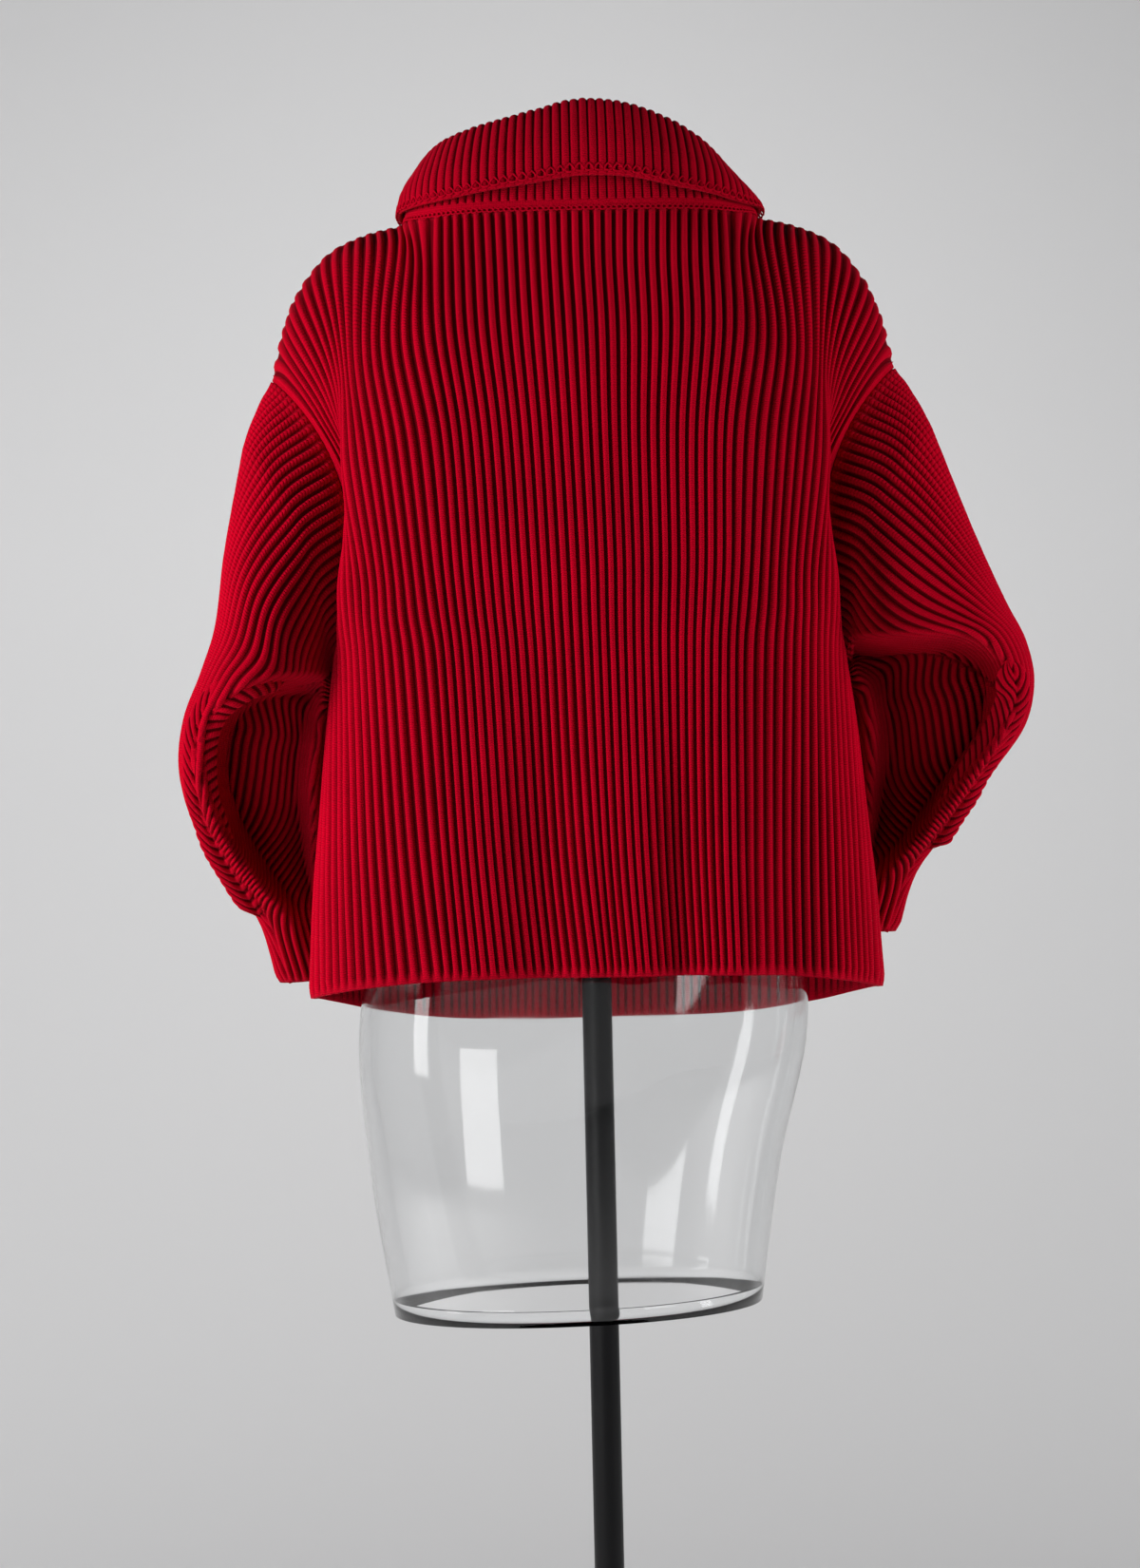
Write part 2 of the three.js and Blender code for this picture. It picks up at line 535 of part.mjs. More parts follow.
// How the folded collar lies at the nape, at the sides and at the throat: the height of its fold, the
// height of its free edge, and how far out from the neck seam the fold and the free edge are.
const COLLAR = {
  foldZ: { nape: 1501, side: 1450, throat: 1428 },
  edgeZ: { nape: 1436, side: 1411, throat: 1388 },
  foldOut: { nape: -5, side: -14, throat: -8 },
  edgeOut: { nape: 11, side: 6, throat: 12 },
};
// The collar's cloth from the neckband up, over the fold and down to the free edge. Up to the fold, "up" is
// the share of the rise from the neckband and "out" the share of the way out to the fold; past it, both
// are shares of the way from the fold to the free edge. "step" adds millimetres to the way out and "sink"
// takes them off the height.
const COLLAR_STATIONS = [
  { up: 0, out: 0, step: 0, sink: 0 },
  { up: 0.28, out: 0.3, step: -0.5, sink: 0 },
  { up: 1, out: 1, step: -5, sink: 6 },
  { up: 1, out: 1, step: 0, sink: 0 },
  { down: 0, out: 0, step: 6, sink: 5 },
  { down: 0.5, out: 0.6, step: 6, sink: 3 },
  { down: 1, out: 1, step: 1.5, sink: 0 },
];

function collarPoint(station, turn) {
  const foot = neckPoint(turn, -WALL / 2, NECKBAND_TOP + 1.5 * SEAM_GAP);
  const foldZ = roundNeck(COLLAR.foldZ, turn);
  const foldOut = roundNeck(COLLAR.foldOut, turn);
  const rising = station.up !== undefined;
  const edgeZ = roundNeck(COLLAR.edgeZ, turn);
  const edgeOut = roundNeck(COLLAR.edgeOut, turn);
  const out = rising ? foldOut * station.out : foldOut + (edgeOut - foldOut) * station.out;
  const height = rising ? foot.z + (foldZ - foot.z) * station.up : foldZ + (edgeZ - foldZ) * station.down;
  return foot.addScaledVector(neckOutward(turn), out + station.step).setZ(height - station.sink);
}

// The side of the collar's cloth that faces the neck on the way up and outward once it is folded.
function collarFacing(index, turn) {
  if (index === 0) return neckOutward(turn).negate();
  const delta = 0.02;
  const last = COLLAR_STATIONS.length - 1;
  const before = collarPoint(COLLAR_STATIONS[Math.max(index - 1, 0)], turn);
  const up = collarPoint(COLLAR_STATIONS[Math.min(index + 1, last)], turn).sub(before);
  const station = COLLAR_STATIONS[index];
  const round = collarPoint(station, turn + delta).sub(collarPoint(station, turn - delta));
  return up.cross(round).normalize();
}

function collar() {
  const skin = new Skin();
  const fine = 2 * COLLAR_RIBS;
  const coarse = COLLAR_RIBS / 2;
  const stations = COLLAR_STATIONS.map((_, i) => i);
  const last = stations.at(-1);
  const at = (index, turn, rise) => collarPoint(COLLAR_STATIONS[index], turn)
    .addScaledVector(collarFacing(index, turn), rise);
  const rib = (n, index) => (n % 2 ? RIB_RELIEF * (index === 0 || index === last ? SEAM_RELIEF : 1) : 0);
  const shown = stations.map((index) => neckRow(skin, fine, (turn, n) => (
    at(index, turn, WALL / 2 + rib(n, index)))));
  // Below the free edge the other side of the stand shows too, so its ribs are raised there.
  const hidden = stations.map((index) => (index < 2
    ? neckRow(skin, fine, (turn, n) => at(index, turn, -WALL / 2 - rib(n, index) * (index ? 0.5 : 1)))
    : neckRow(skin, coarse, (turn) => at(index, turn, -WALL / 2))));
  stations.slice(1).forEach((index) => {
    skin.strip(shown[index - 1], shown[index]);
    skin.strip(hidden[index - 1], hidden[index], true);
  });
  skin.strip(shown[0], hidden[0], true);
  skin.strip(shown[last], hidden[last]);
  return skin.mesh('collar', YARN);
}

// ---- Dress form and stand -------------------------------------------------------------------------
// One row for each level of the form, from its open rim to the base of its neck cap: the height, half the
// width, the reach to the back and to the front, how round the section is (2 is an ellipse), and how far the
// form leans over to the wearer's left of its pole.
const FORM_LEVELS = [
  { z: 501, half: 155, back: 114, front: 114, round: 2.1, lean: 21 },
  { z: 620, half: 173, back: 121, front: 116, round: 2.1, lean: 21 },
  { z: 735, half: 189, back: 121, front: 115, round: 2.1, lean: 12 },
  { z: 845, half: 175, back: 102, front: 106, round: 2.1, lean: 5 },
  { z: 960, half: 147, back: 86, front: 96, round: 2.1, lean: 0 },
  { z: 1080, half: 160, back: 98, front: 118, round: 2.1, lean: 0 },
  { z: 1180, half: 172, back: 112, front: 126, round: 2, lean: 0 },
  { z: 1260, half: 205, back: 114, front: 114, round: 1.75, lean: 0 },
  { z: 1320, half: 222, back: 102, front: 92, round: 1.6, lean: 0 },
  { z: 1355, half: 205, back: 84, front: 72, round: 1.5, lean: 0 },
  { z: 1382, half: 140, back: 66, front: 56, round: 1.6, lean: 0 },
  { z: 1402, half: 74, back: 54, front: 46, round: 2, lean: 0 },
  { z: 1440, half: 56, back: 50, front: 42, round: 2, lean: 0 },
];
const FORM_WALL = 3;
const FORM_SEGMENTS = 22;
const FORM_CAP_Z = 1452;     // the top of the closed neck cap
const RIM_SLOPE = 0.023;     // the rim is lower at the wearer's left

function formPoint(level, turn, inset) {
  const cos = Math.cos(turn);
  const sin = Math.sin(turn);
  const depth = (sin < 0 ? level.back : level.front) - inset;
  const half = level.half - inset;
  const reach = (Math.abs(cos) ** level.round + Math.abs(sin) ** level.round) ** (-1 / level.round);
  const tilt = level === FORM_LEVELS[0] ? RIM_SLOPE : 0;
  return vec(half * cos * reach - level.lean, depth * sin * reach, level.z + tilt * half * cos * reach);
}

function dressForm() {
  const skin = new Skin();
  const turns = Array.from({ length: FORM_SEGMENTS + 1 }, (_, n) => 2 * Math.PI * n / FORM_SEGMENTS);
  const ring = (level, inset) => {
    const row = skin.row(turns.slice(0, -1).map((turn) => formPoint(level, turn, inset)), turns.slice(0, -1));
    return [...row, { id: row[0].id, at: turns.at(-1) }];
  };
  const outer = FORM_LEVELS.map((level) => ring(level, 0));
  const inner = FORM_LEVELS.map((level) => ring(level, FORM_WALL));
  const top = skin.row([vec(0, 0, FORM_CAP_Z), vec(0, 0, FORM_CAP_Z - FORM_WALL)], [0, 0]);
  FORM_LEVELS.slice(1).forEach((_, i) => {
    skin.strip(outer[i], outer[i + 1], true);
    skin.strip(inner[i], inner[i + 1]);
  });
  skin.strip(outer[0], inner[0]);
  skin.strip(outer.at(-1), [top[0]], true);
  skin.strip(inner.at(-1), [top[1]]);
  return skin.mesh('dress_form', CLEAR_PLASTIC);
}

const POLE_RADIUS = 12.5;
const BASE_RADIUS = 175;
const BASE_THICKNESS = 9;
const SOCKET = { radius: 21, height: 46 };
const HOLDER = { radius: 30, height: 14, top: FORM_CAP_Z - FORM_WALL - SEAM_GAP - 8 };

function turned(name, outline, finish, segments) {
  const profile = outline.map(([radius, z]) => new THREE.Vector2(radius, z));
  const geometry = new THREE.LatheGeometry(profile, segments).rotateX(Math.PI / 2);
  return named(name, geometry, finish);
}

function stand() {
  const bore = POLE_RADIUS + SEAM_GAP;
  const floor = BASE_THICKNESS + SEAM_GAP;
  const holderFoot = HOLDER.top - HOLDER.height;
  return [
    turned('base', [[0, 0], [BASE_RADIUS, 0], [BASE_RADIUS, BASE_THICKNESS / 2],
      [BASE_RADIUS - 5, BASE_THICKNESS], [SOCKET.radius, BASE_THICKNESS], [SOCKET.radius, SOCKET.height - 2],
      [SOCKET.radius - 2, SOCKET.height], [bore, SOCKET.height], [bore, BASE_THICKNESS],
      [0, BASE_THICKNESS]], BLACK_STEEL, 24),
    turned('pole', [[0, floor], [POLE_RADIUS, floor], [POLE_RADIUS, holderFoot - SEAM_GAP],
      [0, holderFoot - SEAM_GAP]], BLACK_STEEL, 16),
    turned('form_holder', [[0, holderFoot], [HOLDER.radius - 4, holderFoot], [HOLDER.radius, holderFoot + 4],
      [HOLDER.radius, HOLDER.top], [0, HOLDER.top]], BLACK_STEEL, 16),
  ];
}

export default new THREE.Group().add(
  ribbedPanel('back', -1, BACK_SECTIONS),
  ribbedPanel('front', 1, FRONT_SECTIONS),
  sleeve('sleeve_left', SLEEVES.left),
  sleeve('sleeve_right', SLEEVES.right),
  neckband(),
  collar(),
  dressForm(),
  ...stand(),
);
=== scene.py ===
"""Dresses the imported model: a chunky ribbed wool sweater on a clear dress form and its pole stand.

The garment's tables are in millimetres, as a pattern cutter writes them, and the meshes are in metres.
Z is up, the back of the garment faces -Y, and the wearer's left is -X.
"""

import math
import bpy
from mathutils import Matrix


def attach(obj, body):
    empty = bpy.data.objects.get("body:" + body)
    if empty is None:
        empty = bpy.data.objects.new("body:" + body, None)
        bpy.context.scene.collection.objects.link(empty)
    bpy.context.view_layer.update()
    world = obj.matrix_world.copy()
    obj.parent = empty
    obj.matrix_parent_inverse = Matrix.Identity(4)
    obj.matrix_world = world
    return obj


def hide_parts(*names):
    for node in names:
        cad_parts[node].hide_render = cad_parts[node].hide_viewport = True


bl_info = {
    "name": "Ribbed Sweater on a Dress Form",
    "version": (1, 0, 0),
    "blender": (4, 5, 0),
    "location": "3D View > Sidebar > Sweater",
    "description": "Knits the sweater over its solids and finishes its clear form and stand",
    "category": "Object",
}

from collections import namedtuple

import bpy
import numpy as np
from mathutils import Matrix, Vector

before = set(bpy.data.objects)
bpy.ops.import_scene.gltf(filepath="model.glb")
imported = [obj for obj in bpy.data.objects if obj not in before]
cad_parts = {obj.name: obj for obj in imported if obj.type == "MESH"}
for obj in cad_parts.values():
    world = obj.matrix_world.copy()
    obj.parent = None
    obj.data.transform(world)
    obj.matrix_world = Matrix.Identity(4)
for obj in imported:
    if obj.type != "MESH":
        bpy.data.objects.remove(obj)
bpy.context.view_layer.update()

# ---- Driving dimensions, in millimetres ------------------------------------------------------------
MM = 0.001
WALL = 3.0                # cloth thickness under the valleys between the ribs
SEAM_GAP = 0.4            # clearance between two pieces that are sewn together
ARMHOLE_GAP = 1.0         # clearance between a sleeve and the body
UNDERARM_CLEARANCE = 6.0  # how far a sleeve stands off the body at the underarm
PANEL_RIBS = 37           # ribs on half a panel
COLLAR_RIBS = 112         # ribs round the collar
STITCH = 1.9              # height of one knit stitch
NECKBAND_FOOT = 3 * SEAM_GAP
NECKBAND_HEIGHT = 7.5
NECKBAND_TOP = NECKBAND_FOOT + NECKBAND_HEIGHT

# Where the columns of a mesh lie across one rib, as shares of it, and how high each stands.
RIB_COLUMNS = (0.0, 0.16, 0.23, 0.34, 0.5, 0.66, 0.77, 0.84)
RIB_HEIGHTS = (0.0, 0.04, 0.60, 0.97, 1.0, 0.97, 0.60, 0.04)
CLOSE_HEIGHTS = (0.0, 0.56, 0.78, 0.95, 1.0, 0.95, 0.78, 0.56)    # the collar's narrow valleys
COLLAR_RELIEF = 0.6        # the collar's ribs stand this share as high
FLAT_PITCH = (2.2, 4.6)    # ribs squeezed from the second width to the first fade out
RIB_START = 0.35           # the share of its height that a rib has where it begins
RIB_RISE = 8.0             # the length over which it rises from that to the whole
SHORT_RISE = 3.0           # and beside the neck seam
VALLEY_SINK = 0.6          # how far the valleys lie in from the plain cloth
WELT = (0.9, 2.4, 2.2)     # a finished edge's roll: its height, its place from the edge and its width


# ---- The settings a user would change --------------------------------------------------------------
class SweaterSettings(bpy.types.PropertyGroup):
    """Sizes and colours of the knitted cloth."""

    rib_relief: bpy.props.FloatProperty(
        name="Rib Relief", description="How far a rib's crest stands above the valleys beside it",
        default=0.0031, min=0.0, max=0.006, unit="LENGTH")
    row_step: bpy.props.FloatProperty(
        name="Row Step", description="Distance between two rows of the mesh along a rib",
        default=0.0052, min=0.002, max=0.02, unit="LENGTH")
    yarn: bpy.props.FloatVectorProperty(
        name="Yarn", description="Colour of the wool on the crest of a rib",
        default=(0.50, 0.0, 0.014), size=3, subtype="COLOR", min=0.0, max=1.0)
    # Painted shade: the yarn darkened to stand for the shade down in the valleys between the ribs.
    valley_shade_yarn: bpy.props.FloatVectorProperty(
        name="Valley Shade Yarn", description="Colour of the wool down between two ribs",
        default=(0.11, 0.0, 0.003), size=3, subtype="COLOR", min=0.0, max=1.0)
    chain_pitch: bpy.props.FloatProperty(
        name="Chain Pitch", description="Length of one loop of the chain along the neck seam",
        default=0.0046, min=0.002, max=0.02, unit="LENGTH")
    strand_pitch: bpy.props.FloatProperty(
        name="Strand Pitch", description="Distance between two strands of the sleeves' rolled seams",
        default=0.0105, min=0.004, max=0.03, unit="LENGTH")


class StandSettings(bpy.types.PropertyGroup):
    """Colours and fineness of the dress form and its stand."""

    plastic: bpy.props.FloatVectorProperty(
        name="Plastic", description="Tint of the clear plastic",
        default=(0.975, 0.98, 0.982), size=3, subtype="COLOR", min=0.0, max=1.0)
    paint: bpy.props.FloatVectorProperty(
        name="Paint", description="Colour of the painted steel",
        default=(0.004, 0.004, 0.0045), size=3, subtype="COLOR", min=0.0, max=1.0)
    segments: bpy.props.IntProperty(
        name="Segments", description="Facets round the dress form", default=128, min=24, max=256)


class StageSettings(bpy.types.PropertyGroup):
    """The studio round the object."""

    backdrop: bpy.props.FloatVectorProperty(
        name="Backdrop", description="Colour of the floor and the wall",
        default=(0.72, 0.72, 0.725), size=3, subtype="COLOR", min=0.0, max=1.0)
    key_power: bpy.props.FloatProperty(
        name="Key Light", description="Strength of the large soft light", default=82.0, min=0.0,
        subtype="POWER", unit="POWER")
    fill_power: bpy.props.FloatProperty(
        name="Fill Light", description="Strength of the light on the other side", default=54.0, min=0.0,
        subtype="POWER", unit="POWER")
    camera_distance: bpy.props.FloatProperty(
        name="Camera Distance", description="From the camera to the pole", default=2.78, min=0.5,
        unit="LENGTH")
    camera_height: bpy.props.FloatProperty(
        name="Camera Height", description="Height of the camera above the floor", default=0.94, min=0.0,
        unit="LENGTH")


# ---- Curves and grids ------------------------------------------------------------------------------
def quarter_loop(quarters, turn):
    """Points of a closed loop through four points a quarter turn apart, at the given turns."""
    first, second, third, fourth = (np.asarray(q, float)[..., None, :] for q in quarters)
    turn = np.asarray(turn, float)[..., None]
    centre = (first + second + third + fourth) / 4
    cosine = (first - third) / 2
    sine = (second - fourth) / 2
    twice = (first + third - second - fourth) / 4
    return centre + cosine * np.cos(turn) + sine * np.sin(turn) + twice * np.cos(2 * turn)


def bend(start, end, leaving, arriving, share):
    """A cubic curve from start to end with the given directions at its ends."""
    cubic = 2 * start - 2 * end + leaving + arriving
    square = -3 * start + 3 * end - 2 * leaving - arriving
    return start + leaving * share + square * share ** 2 + cubic * share ** 3


def spline(points, counts):
    """A centripetal Catmull-Rom curve through rows of points, with so many steps after each row."""
    points = np.asarray(points, float)
    before = 2 * points[:1] - points[1:2]
    after = 2 * points[-1:] - points[-2:-1]
    chain = np.concatenate([before, points, after])
    spans = np.linalg.norm(np.diff(chain, axis=0), axis=-1, keepdims=True) ** 0.5
    spans = np.maximum(spans, 1e-6)
    rows = []
    for i, count in enumerate(counts):
        p0, p1, p2, p3 = chain[i:i + 4]
        d0, d1, d2 = spans[i:i + 3]
        leaving = ((p1 - p0) / d0 - (p2 - p0) / (d0 + d1) + (p2 - p1) / d1) * d1
        arriving = ((p2 - p1) / d1 - (p3 - p1) / (d1 + d2) + (p3 - p2) / d2) * d1
        shares = np.linspace(0, 1, count + 1)[:None if i == len(counts) - 1 else -1]
        rows += [bend(p1, p2, leaving, arriving, share) for share in shares]
    return np.array(rows)


def travelled(line):
    """Length along a polyline up to each of its points."""
    steps = np.linalg.norm(np.diff(line, axis=0), axis=-1)
    return np.concatenate([np.zeros((1,) + steps.shape[1:]), np.cumsum(steps, axis=0)])


def between(places, known, points, **period):
    """Points at the given places, from the points at the known ones."""
    return np.stack([np.interp(places, known, points[:, axis], **period) for axis in range(3)], axis=-1)


def at_lengths(line, lengths):
    """The points that lie at the given lengths along a polyline."""
    return between(lengths, travelled(line), line)


def smooth(value, low, high):
    """Rises softly from 0 at low to 1 at high."""
    t = np.clip((value - low) / (high - low), 0, 1)
    return t * t * (3 - 2 * t)


def unit(vectors):
    return vectors / np.maximum(np.linalg.norm(vectors, axis=-1, keepdims=True), 1e-9)


def grid_normals(grid, closed=False):
    """Directions square to a grid of points, as rows cross columns."""
    if closed:
        across = np.roll(grid, -1, axis=1) - np.roll(grid, 1, axis=1)
    else:
        across = np.gradient(grid, axis=1)
    down = np.gradient(grid, axis=0)
    return unit(np.cross(across, down))


def rib_steps(ribs):
    """Rib coordinates of a mesh's columns over so many ribs, from 0."""
    steps = (np.arange(int(math.ceil(ribs)) + 1)[:, None] + np.array(RIB_COLUMNS)).ravel()
    return steps[steps <= ribs + 1e-9]


def rib_height(rib, heights=RIB_HEIGHTS):
    """How high the cloth stands at a rib coordinate, from 0 in a valley to about 1 on a crest."""
    return np.interp(np.mod(rib, 1.0), RIB_COLUMNS + (1.0,), heights + heights[:1])


class Shell:
    """Points, rib coordinates and triangles of one closed piece."""

    def __init__(self):
        self.points = []
        self.knits = []
        self.shares = []
        self.faces = []
        self.count = 0

    def grid(self, points, knit=None, share=0.0, closed=False):
        """Adds rows of points and gives their indices. Closed, the last column is the first again."""
        rows, columns = points.shape[:2]
        knit = np.zeros((rows, columns, 2)) if knit is None else knit
        ids = self.count + np.arange(rows * columns).reshape(rows, columns)
        self.count += rows * columns
        self.points.append(points.reshape(-1, 3))
        self.knits.append(knit.reshape(-1, 2))
        self.shares.append(np.broadcast_to(share, (rows, columns)).reshape(-1))
        return np.concatenate([ids, ids[:, :1]], axis=1) if closed else ids

    def fill(self, ids, flip=False):
        """Fills a grid of indices. Where neighbours are one point, nothing is added."""
        a, b, c, d = ids[:-1, :-1], ids[:-1, 1:], ids[1:, 1:], ids[1:, :-1]
        for triangle in ((a, d, b), (b, d, c)):
            faces = np.stack([corner.ravel() for corner in triangle], axis=1)
            self.faces.append(faces[:, ::-1] if flip else faces)

    def zip(self, row_a, row_b, at_a, at_b, flip=False):
        """Fills the strip between two rows whose points lie at the given places along it."""
        a = b = 0
        faces = []
        while a < len(row_a) - 1 or b < len(row_b) - 1:
            next_a = at_a[a + 1] if a < len(row_a) - 1 else math.inf
            next_b = at_b[b + 1] if b < len(row_b) - 1 else math.inf
            if next_a <= next_b:
                faces.append((row_a[a], row_b[b], row_a[a + 1]))
                a += 1
            else:
                faces.append((row_a[a], row_b[b], row_b[b + 1]))
                b += 1
        faces = np.array(faces)
        self.faces.append(faces[:, ::-1] if flip else faces)

    def piece(self, name, material):
        """The finished object: its Knit map counts ribs across and stitches along."""
        faces = np.concatenate(self.faces)
        distinct = ((faces[:, 0] != faces[:, 1]) & (faces[:, 1] != faces[:, 2])
                    & (faces[:, 2] != faces[:, 0]))
        faces = faces[distinct]
        used, faces = np.unique(faces, return_inverse=True)
        faces = faces.reshape(-1, 3)
        points = np.concatenate(self.points)[used] * MM
        knits = np.concatenate(self.knits)[used]
        shares = np.concatenate(self.shares)[used]
        mesh = bpy.data.meshes.new(name)
        mesh.vertices.add(len(points))
        mesh.vertices.foreach_set("co", points.ravel().astype(np.float32))
        mesh.loops.add(faces.size)
        mesh.loops.foreach_set("vertex_index", faces.ravel().astype(np.int32))
        mesh.polygons.add(len(faces))
        mesh.polygons.foreach_set("loop_start", np.arange(0, faces.size, 3, dtype=np.int32))
        mesh.update(calc_edges=True)
        knit_map = mesh.uv_layers.new(name="Knit")
        knit_map.data.foreach_set("uv", knits[faces.ravel()].ravel().astype(np.float32))
        share = mesh.attributes.new("Rib Share", "FLOAT", "POINT")
        share.data.foreach_set("value", shares.astype(np.float32))
        mesh.polygons.foreach_set("use_smooth", np.ones(len(faces), dtype=bool))
        mesh.validate()
        return linked(name, mesh, material)


def in_scene(name, data):
    """A new object in the scene, which holds the mesh, light or camera."""
    made = bpy.data.objects.new(name, data)
    bpy.context.scene.collection.objects.link(made)
    return made


def linked(name, mesh, material):
    piece = in_scene(name, mesh)
    piece.data.materials.append(material)
    return piece


# ---- Shared seams ----------------------------------------------------------------------------------
# The neck seam, round the neck from the nape: nape, wearer's right, throat, wearer's left.
NECK_SEAM = np.array([(0, -105, 1406), (146, -22, 1402), (0, 112, 1372), (-146, -22, 1402)], float)
# The armhole seam from the shoulder's end: shoulder, back, underarm, front, with x measured outward.
ARMHOLE = np.array([(263, 10, 1286), (199, -62, 1180), (207, -3, 1045), (199, 72, 1180)], float)
# The shoulder seam, from the neck out to the armhole.
SHOULDER = np.array([(146, -22, 1410), (180, -12, 1404), (211, -4, 1391), (234, 2, 1366),
                     (250, 6, 1333), (263, 10, 1286)], float)
SIDE_SEAM_Y = -3.0
NECK_RISE = 8.0           # how far the neck seam rises to the top of the shoulder
NECK_RIBS = 17.0          # ribs on half a panel that end at the neck seam
SHOULDER_RIBS = 33.0      # those and the ones that end at the shoulder seam
# How far out a rib reaches a panel's top edge, and which one it is.
TOP_RIBS = ((118, 13.7), (146, NECK_RIBS), (198, 23), (219, 25), (235, 27), (245, 29), (253, 31))
SEAM_MARGIN = 5.0         # the cloth beside an edge that holds the ribs which haven't begun
FACING_BLEND = 8          # ribs over which a panel turns to the facing that it shares with the sleeve


def on_side(points, side):
    return np.asarray(points, float) * np.array([side, 1, 1])


def neck_seam(turn):
    rise = NECK_RISE * np.abs(np.sin(turn)) ** 16
    return quarter_loop(NECK_SEAM, turn) + np.asarray(rise)[..., None] * np.array([0, 0, 1])


def armhole(side, turn):
    return quarter_loop(on_side(ARMHOLE, side), turn)


def armhole_facing(side, turn, underarm_x):
    """The cloth's outward direction on the armhole seam. At the underarm the body faces the sleeve."""
    turn = np.asarray(turn, float)[..., None]
    shoulder = np.array([side * 0.95, 0, 0.3])
    underarm = np.array([side * underarm_x, 0, 0])
    flank = np.concatenate([np.full_like(turn, side * 0.15), -np.sign(np.sin(turn)), np.zeros_like(turn)], -1)
    ends = np.where(np.cos(turn) > 0, shoulder, underarm)
    return unit(flank * np.sin(turn) ** 2 + ends * np.cos(turn) ** 2)


# ---- Back and front --------------------------------------------------------------------------------
# Sections across a panel, from under the shoulder to the hem: the centre line's y and z, then points on the
# blade, the flank, the drape fold and the tuck behind it. A section ends on the armhole, at a turn in
# degrees, or on the side seam, at (x, z). The last columns count the ribs from the middle one to the
# blade, to the drape fold and to the edge, and say which rib lies on the centre line.
Section = namedtuple("Section", "mid blade flank fold tuck turn side at_blade at_fold at_edge lean")
BACK_SECTIONS = [
    Section((-122, 1364), (116, -104, 1366), (154, -64, 1384), (203, -32, 1379), (240, -26, 1337),
            30, None, 13.4, 23.3, 33.5, 0),
    Section((-137, 1306), (120, -129, 1304), (160, -113, 1299), (189, -93, 1284), (207, -70, 1261),
            60, None, 13.9, 22.3, 33.5, -0.25),
    Section((-146, 1225), (118, -139, 1222), (162, -123, 1216), (197, -94, 1203), (188, -71, 1190),
            92, None, 15, 25, 34, -0.5),
    Section((-147, 1115), (120, -139, 1114), (168, -119, 1110), (203, -82, 1104), (189, -58, 1099),
            130, None, 16, 28.5, 35, -0.95),
    Section((-146, 1080), (122, -137, 1079), (172, -114, 1077), (205, -72, 1073), (197, -42, 1068),
            156, None, 16.7, 29.2, 35.8, -1),
    Section((-144, 1050), (124, -134, 1050), (176, -108, 1049), (207, -62, 1047), (210, -30, 1046),
            180, None, 17.4, 30, 36, -1.1),
    Section((-135, 886), (124, -126, 885), (184, -104, 880), (221, -62, 875), (231, -30, 871),
            None, (232, 870), 18.2, 32, 36.5, -1.9),
    Section((-134, 784), (128, -126, 783), (190, -100, 777), (226, -60, 770), (238, -30, 766),
            None, (240, 764), 19.3, 32.5, 36.5, -3.2),
]
FRONT_SECTIONS = [
    Section((130, 1336), (98, 112, 1351), (146, 58, 1378), (203, 44, 1377), (240, 43, 1335),
            30, None, 11.6, 23.3, 33.5, 0),
    Section((143, 1275), (118, 134, 1282), (160, 110, 1292), (190, 94, 1282), (207, 78, 1261),
            60, None, 13.8, 22.5, 33.5, 0),
    Section((150, 1205), (118, 142, 1208), (163, 125, 1208), (198, 99, 1200), (189, 81, 1190),
            92, None, 15, 25, 34, 0.2),
    Section((150, 1105), (120, 142, 1106), (168, 122, 1106), (203, 86, 1102), (189, 66, 1099),
            130, None, 16, 28, 35, 0.3),
    Section((149, 1072), (122, 141, 1073), (172, 117, 1074), (205, 75, 1073), (197, 42, 1068),
            156, None, 16.6, 28.8, 35.8, 0.4),
    Section((148, 1042), (124, 139, 1043), (176, 112, 1044), (207, 64, 1045), (210, 27, 1045),
            180, None, 17, 29.5, 36, 0.5),
    Section((142, 848), (124, 133, 850), (184, 109, 857), (221, 64, 864), (231, 28, 868),
            None, (232, 870), 18, 31.5, 36.5, 1),
    Section((141, 733), (128, 132, 736), (190, 104, 746), (222, 64, 756), (237, 28, 762),
            None, (240, 764), 18.5, 32, 36.5, 1.3),
]
# Soft upright folds low on each panel: the x of the crest or trough, its half width, how far it stands out
# (or in), and the height at which it starts.
Fold = namedtuple("Fold", "x spread out top")
SOFT_FOLDS = {
    "back": [Fold(-42, 32, -13, 1110), Fold(10, 13, -3, 1000), Fold(34, 18, 4, 1040), Fold(66, 14, -6, 1050),
             Fold(112, 21, 11, 1080), Fold(158, 18, -7, 1000)],
    "front": [Fold(22, 20, 5, 960), Fold(-40, 16, -6, 990), Fold(-86, 13, 4, 920)],
}
FOLD_GROWTH = 170.0       # the height over which a soft fold reaches its full depth
HEM_BAND = (3.4, 6.6)     # above the hem, ribs start and have their full height
STATION_STEPS = 24        # samples between two stations of a section
NECK_STEPS = 60           # and along half the neck seam
SHOULDER_STEPS = 12       # and between two points of the shoulder seam
SEATED_RIBS = 9           # ribs that are moved along with a panel's edge when it is set on the armhole
LEAN_LEFT = 0.4           # how much of the centre line's lean is left at the blades


def soft_fold(panel, points):
    total = np.zeros(points.shape[:-1])
    for fold in SOFT_FOLDS[panel]:
        across = np.exp(-((points[..., 0] - fold.x) / fold.spread) ** 2)
        total += fold.out * across * smooth(fold.top - points[..., 2], 0, FOLD_GROWTH)
    return total


def half_section(section, side, facing):
    stations = [(0, *section.mid)] + [on_side(point, side) for point in section[1:5]]
    if section.turn is None:
        end = (side * section.side[0], SIDE_SEAM_Y, section.side[1])
    else:
        end = armhole(side, np.array([-facing * math.radians(section.turn)]))[0]
    line = spline(stations + [end], [STATION_STEPS] * len(stations))
    return line, [(STATION_STEPS, section.at_blade), (3 * STATION_STEPS, section.at_fold)]


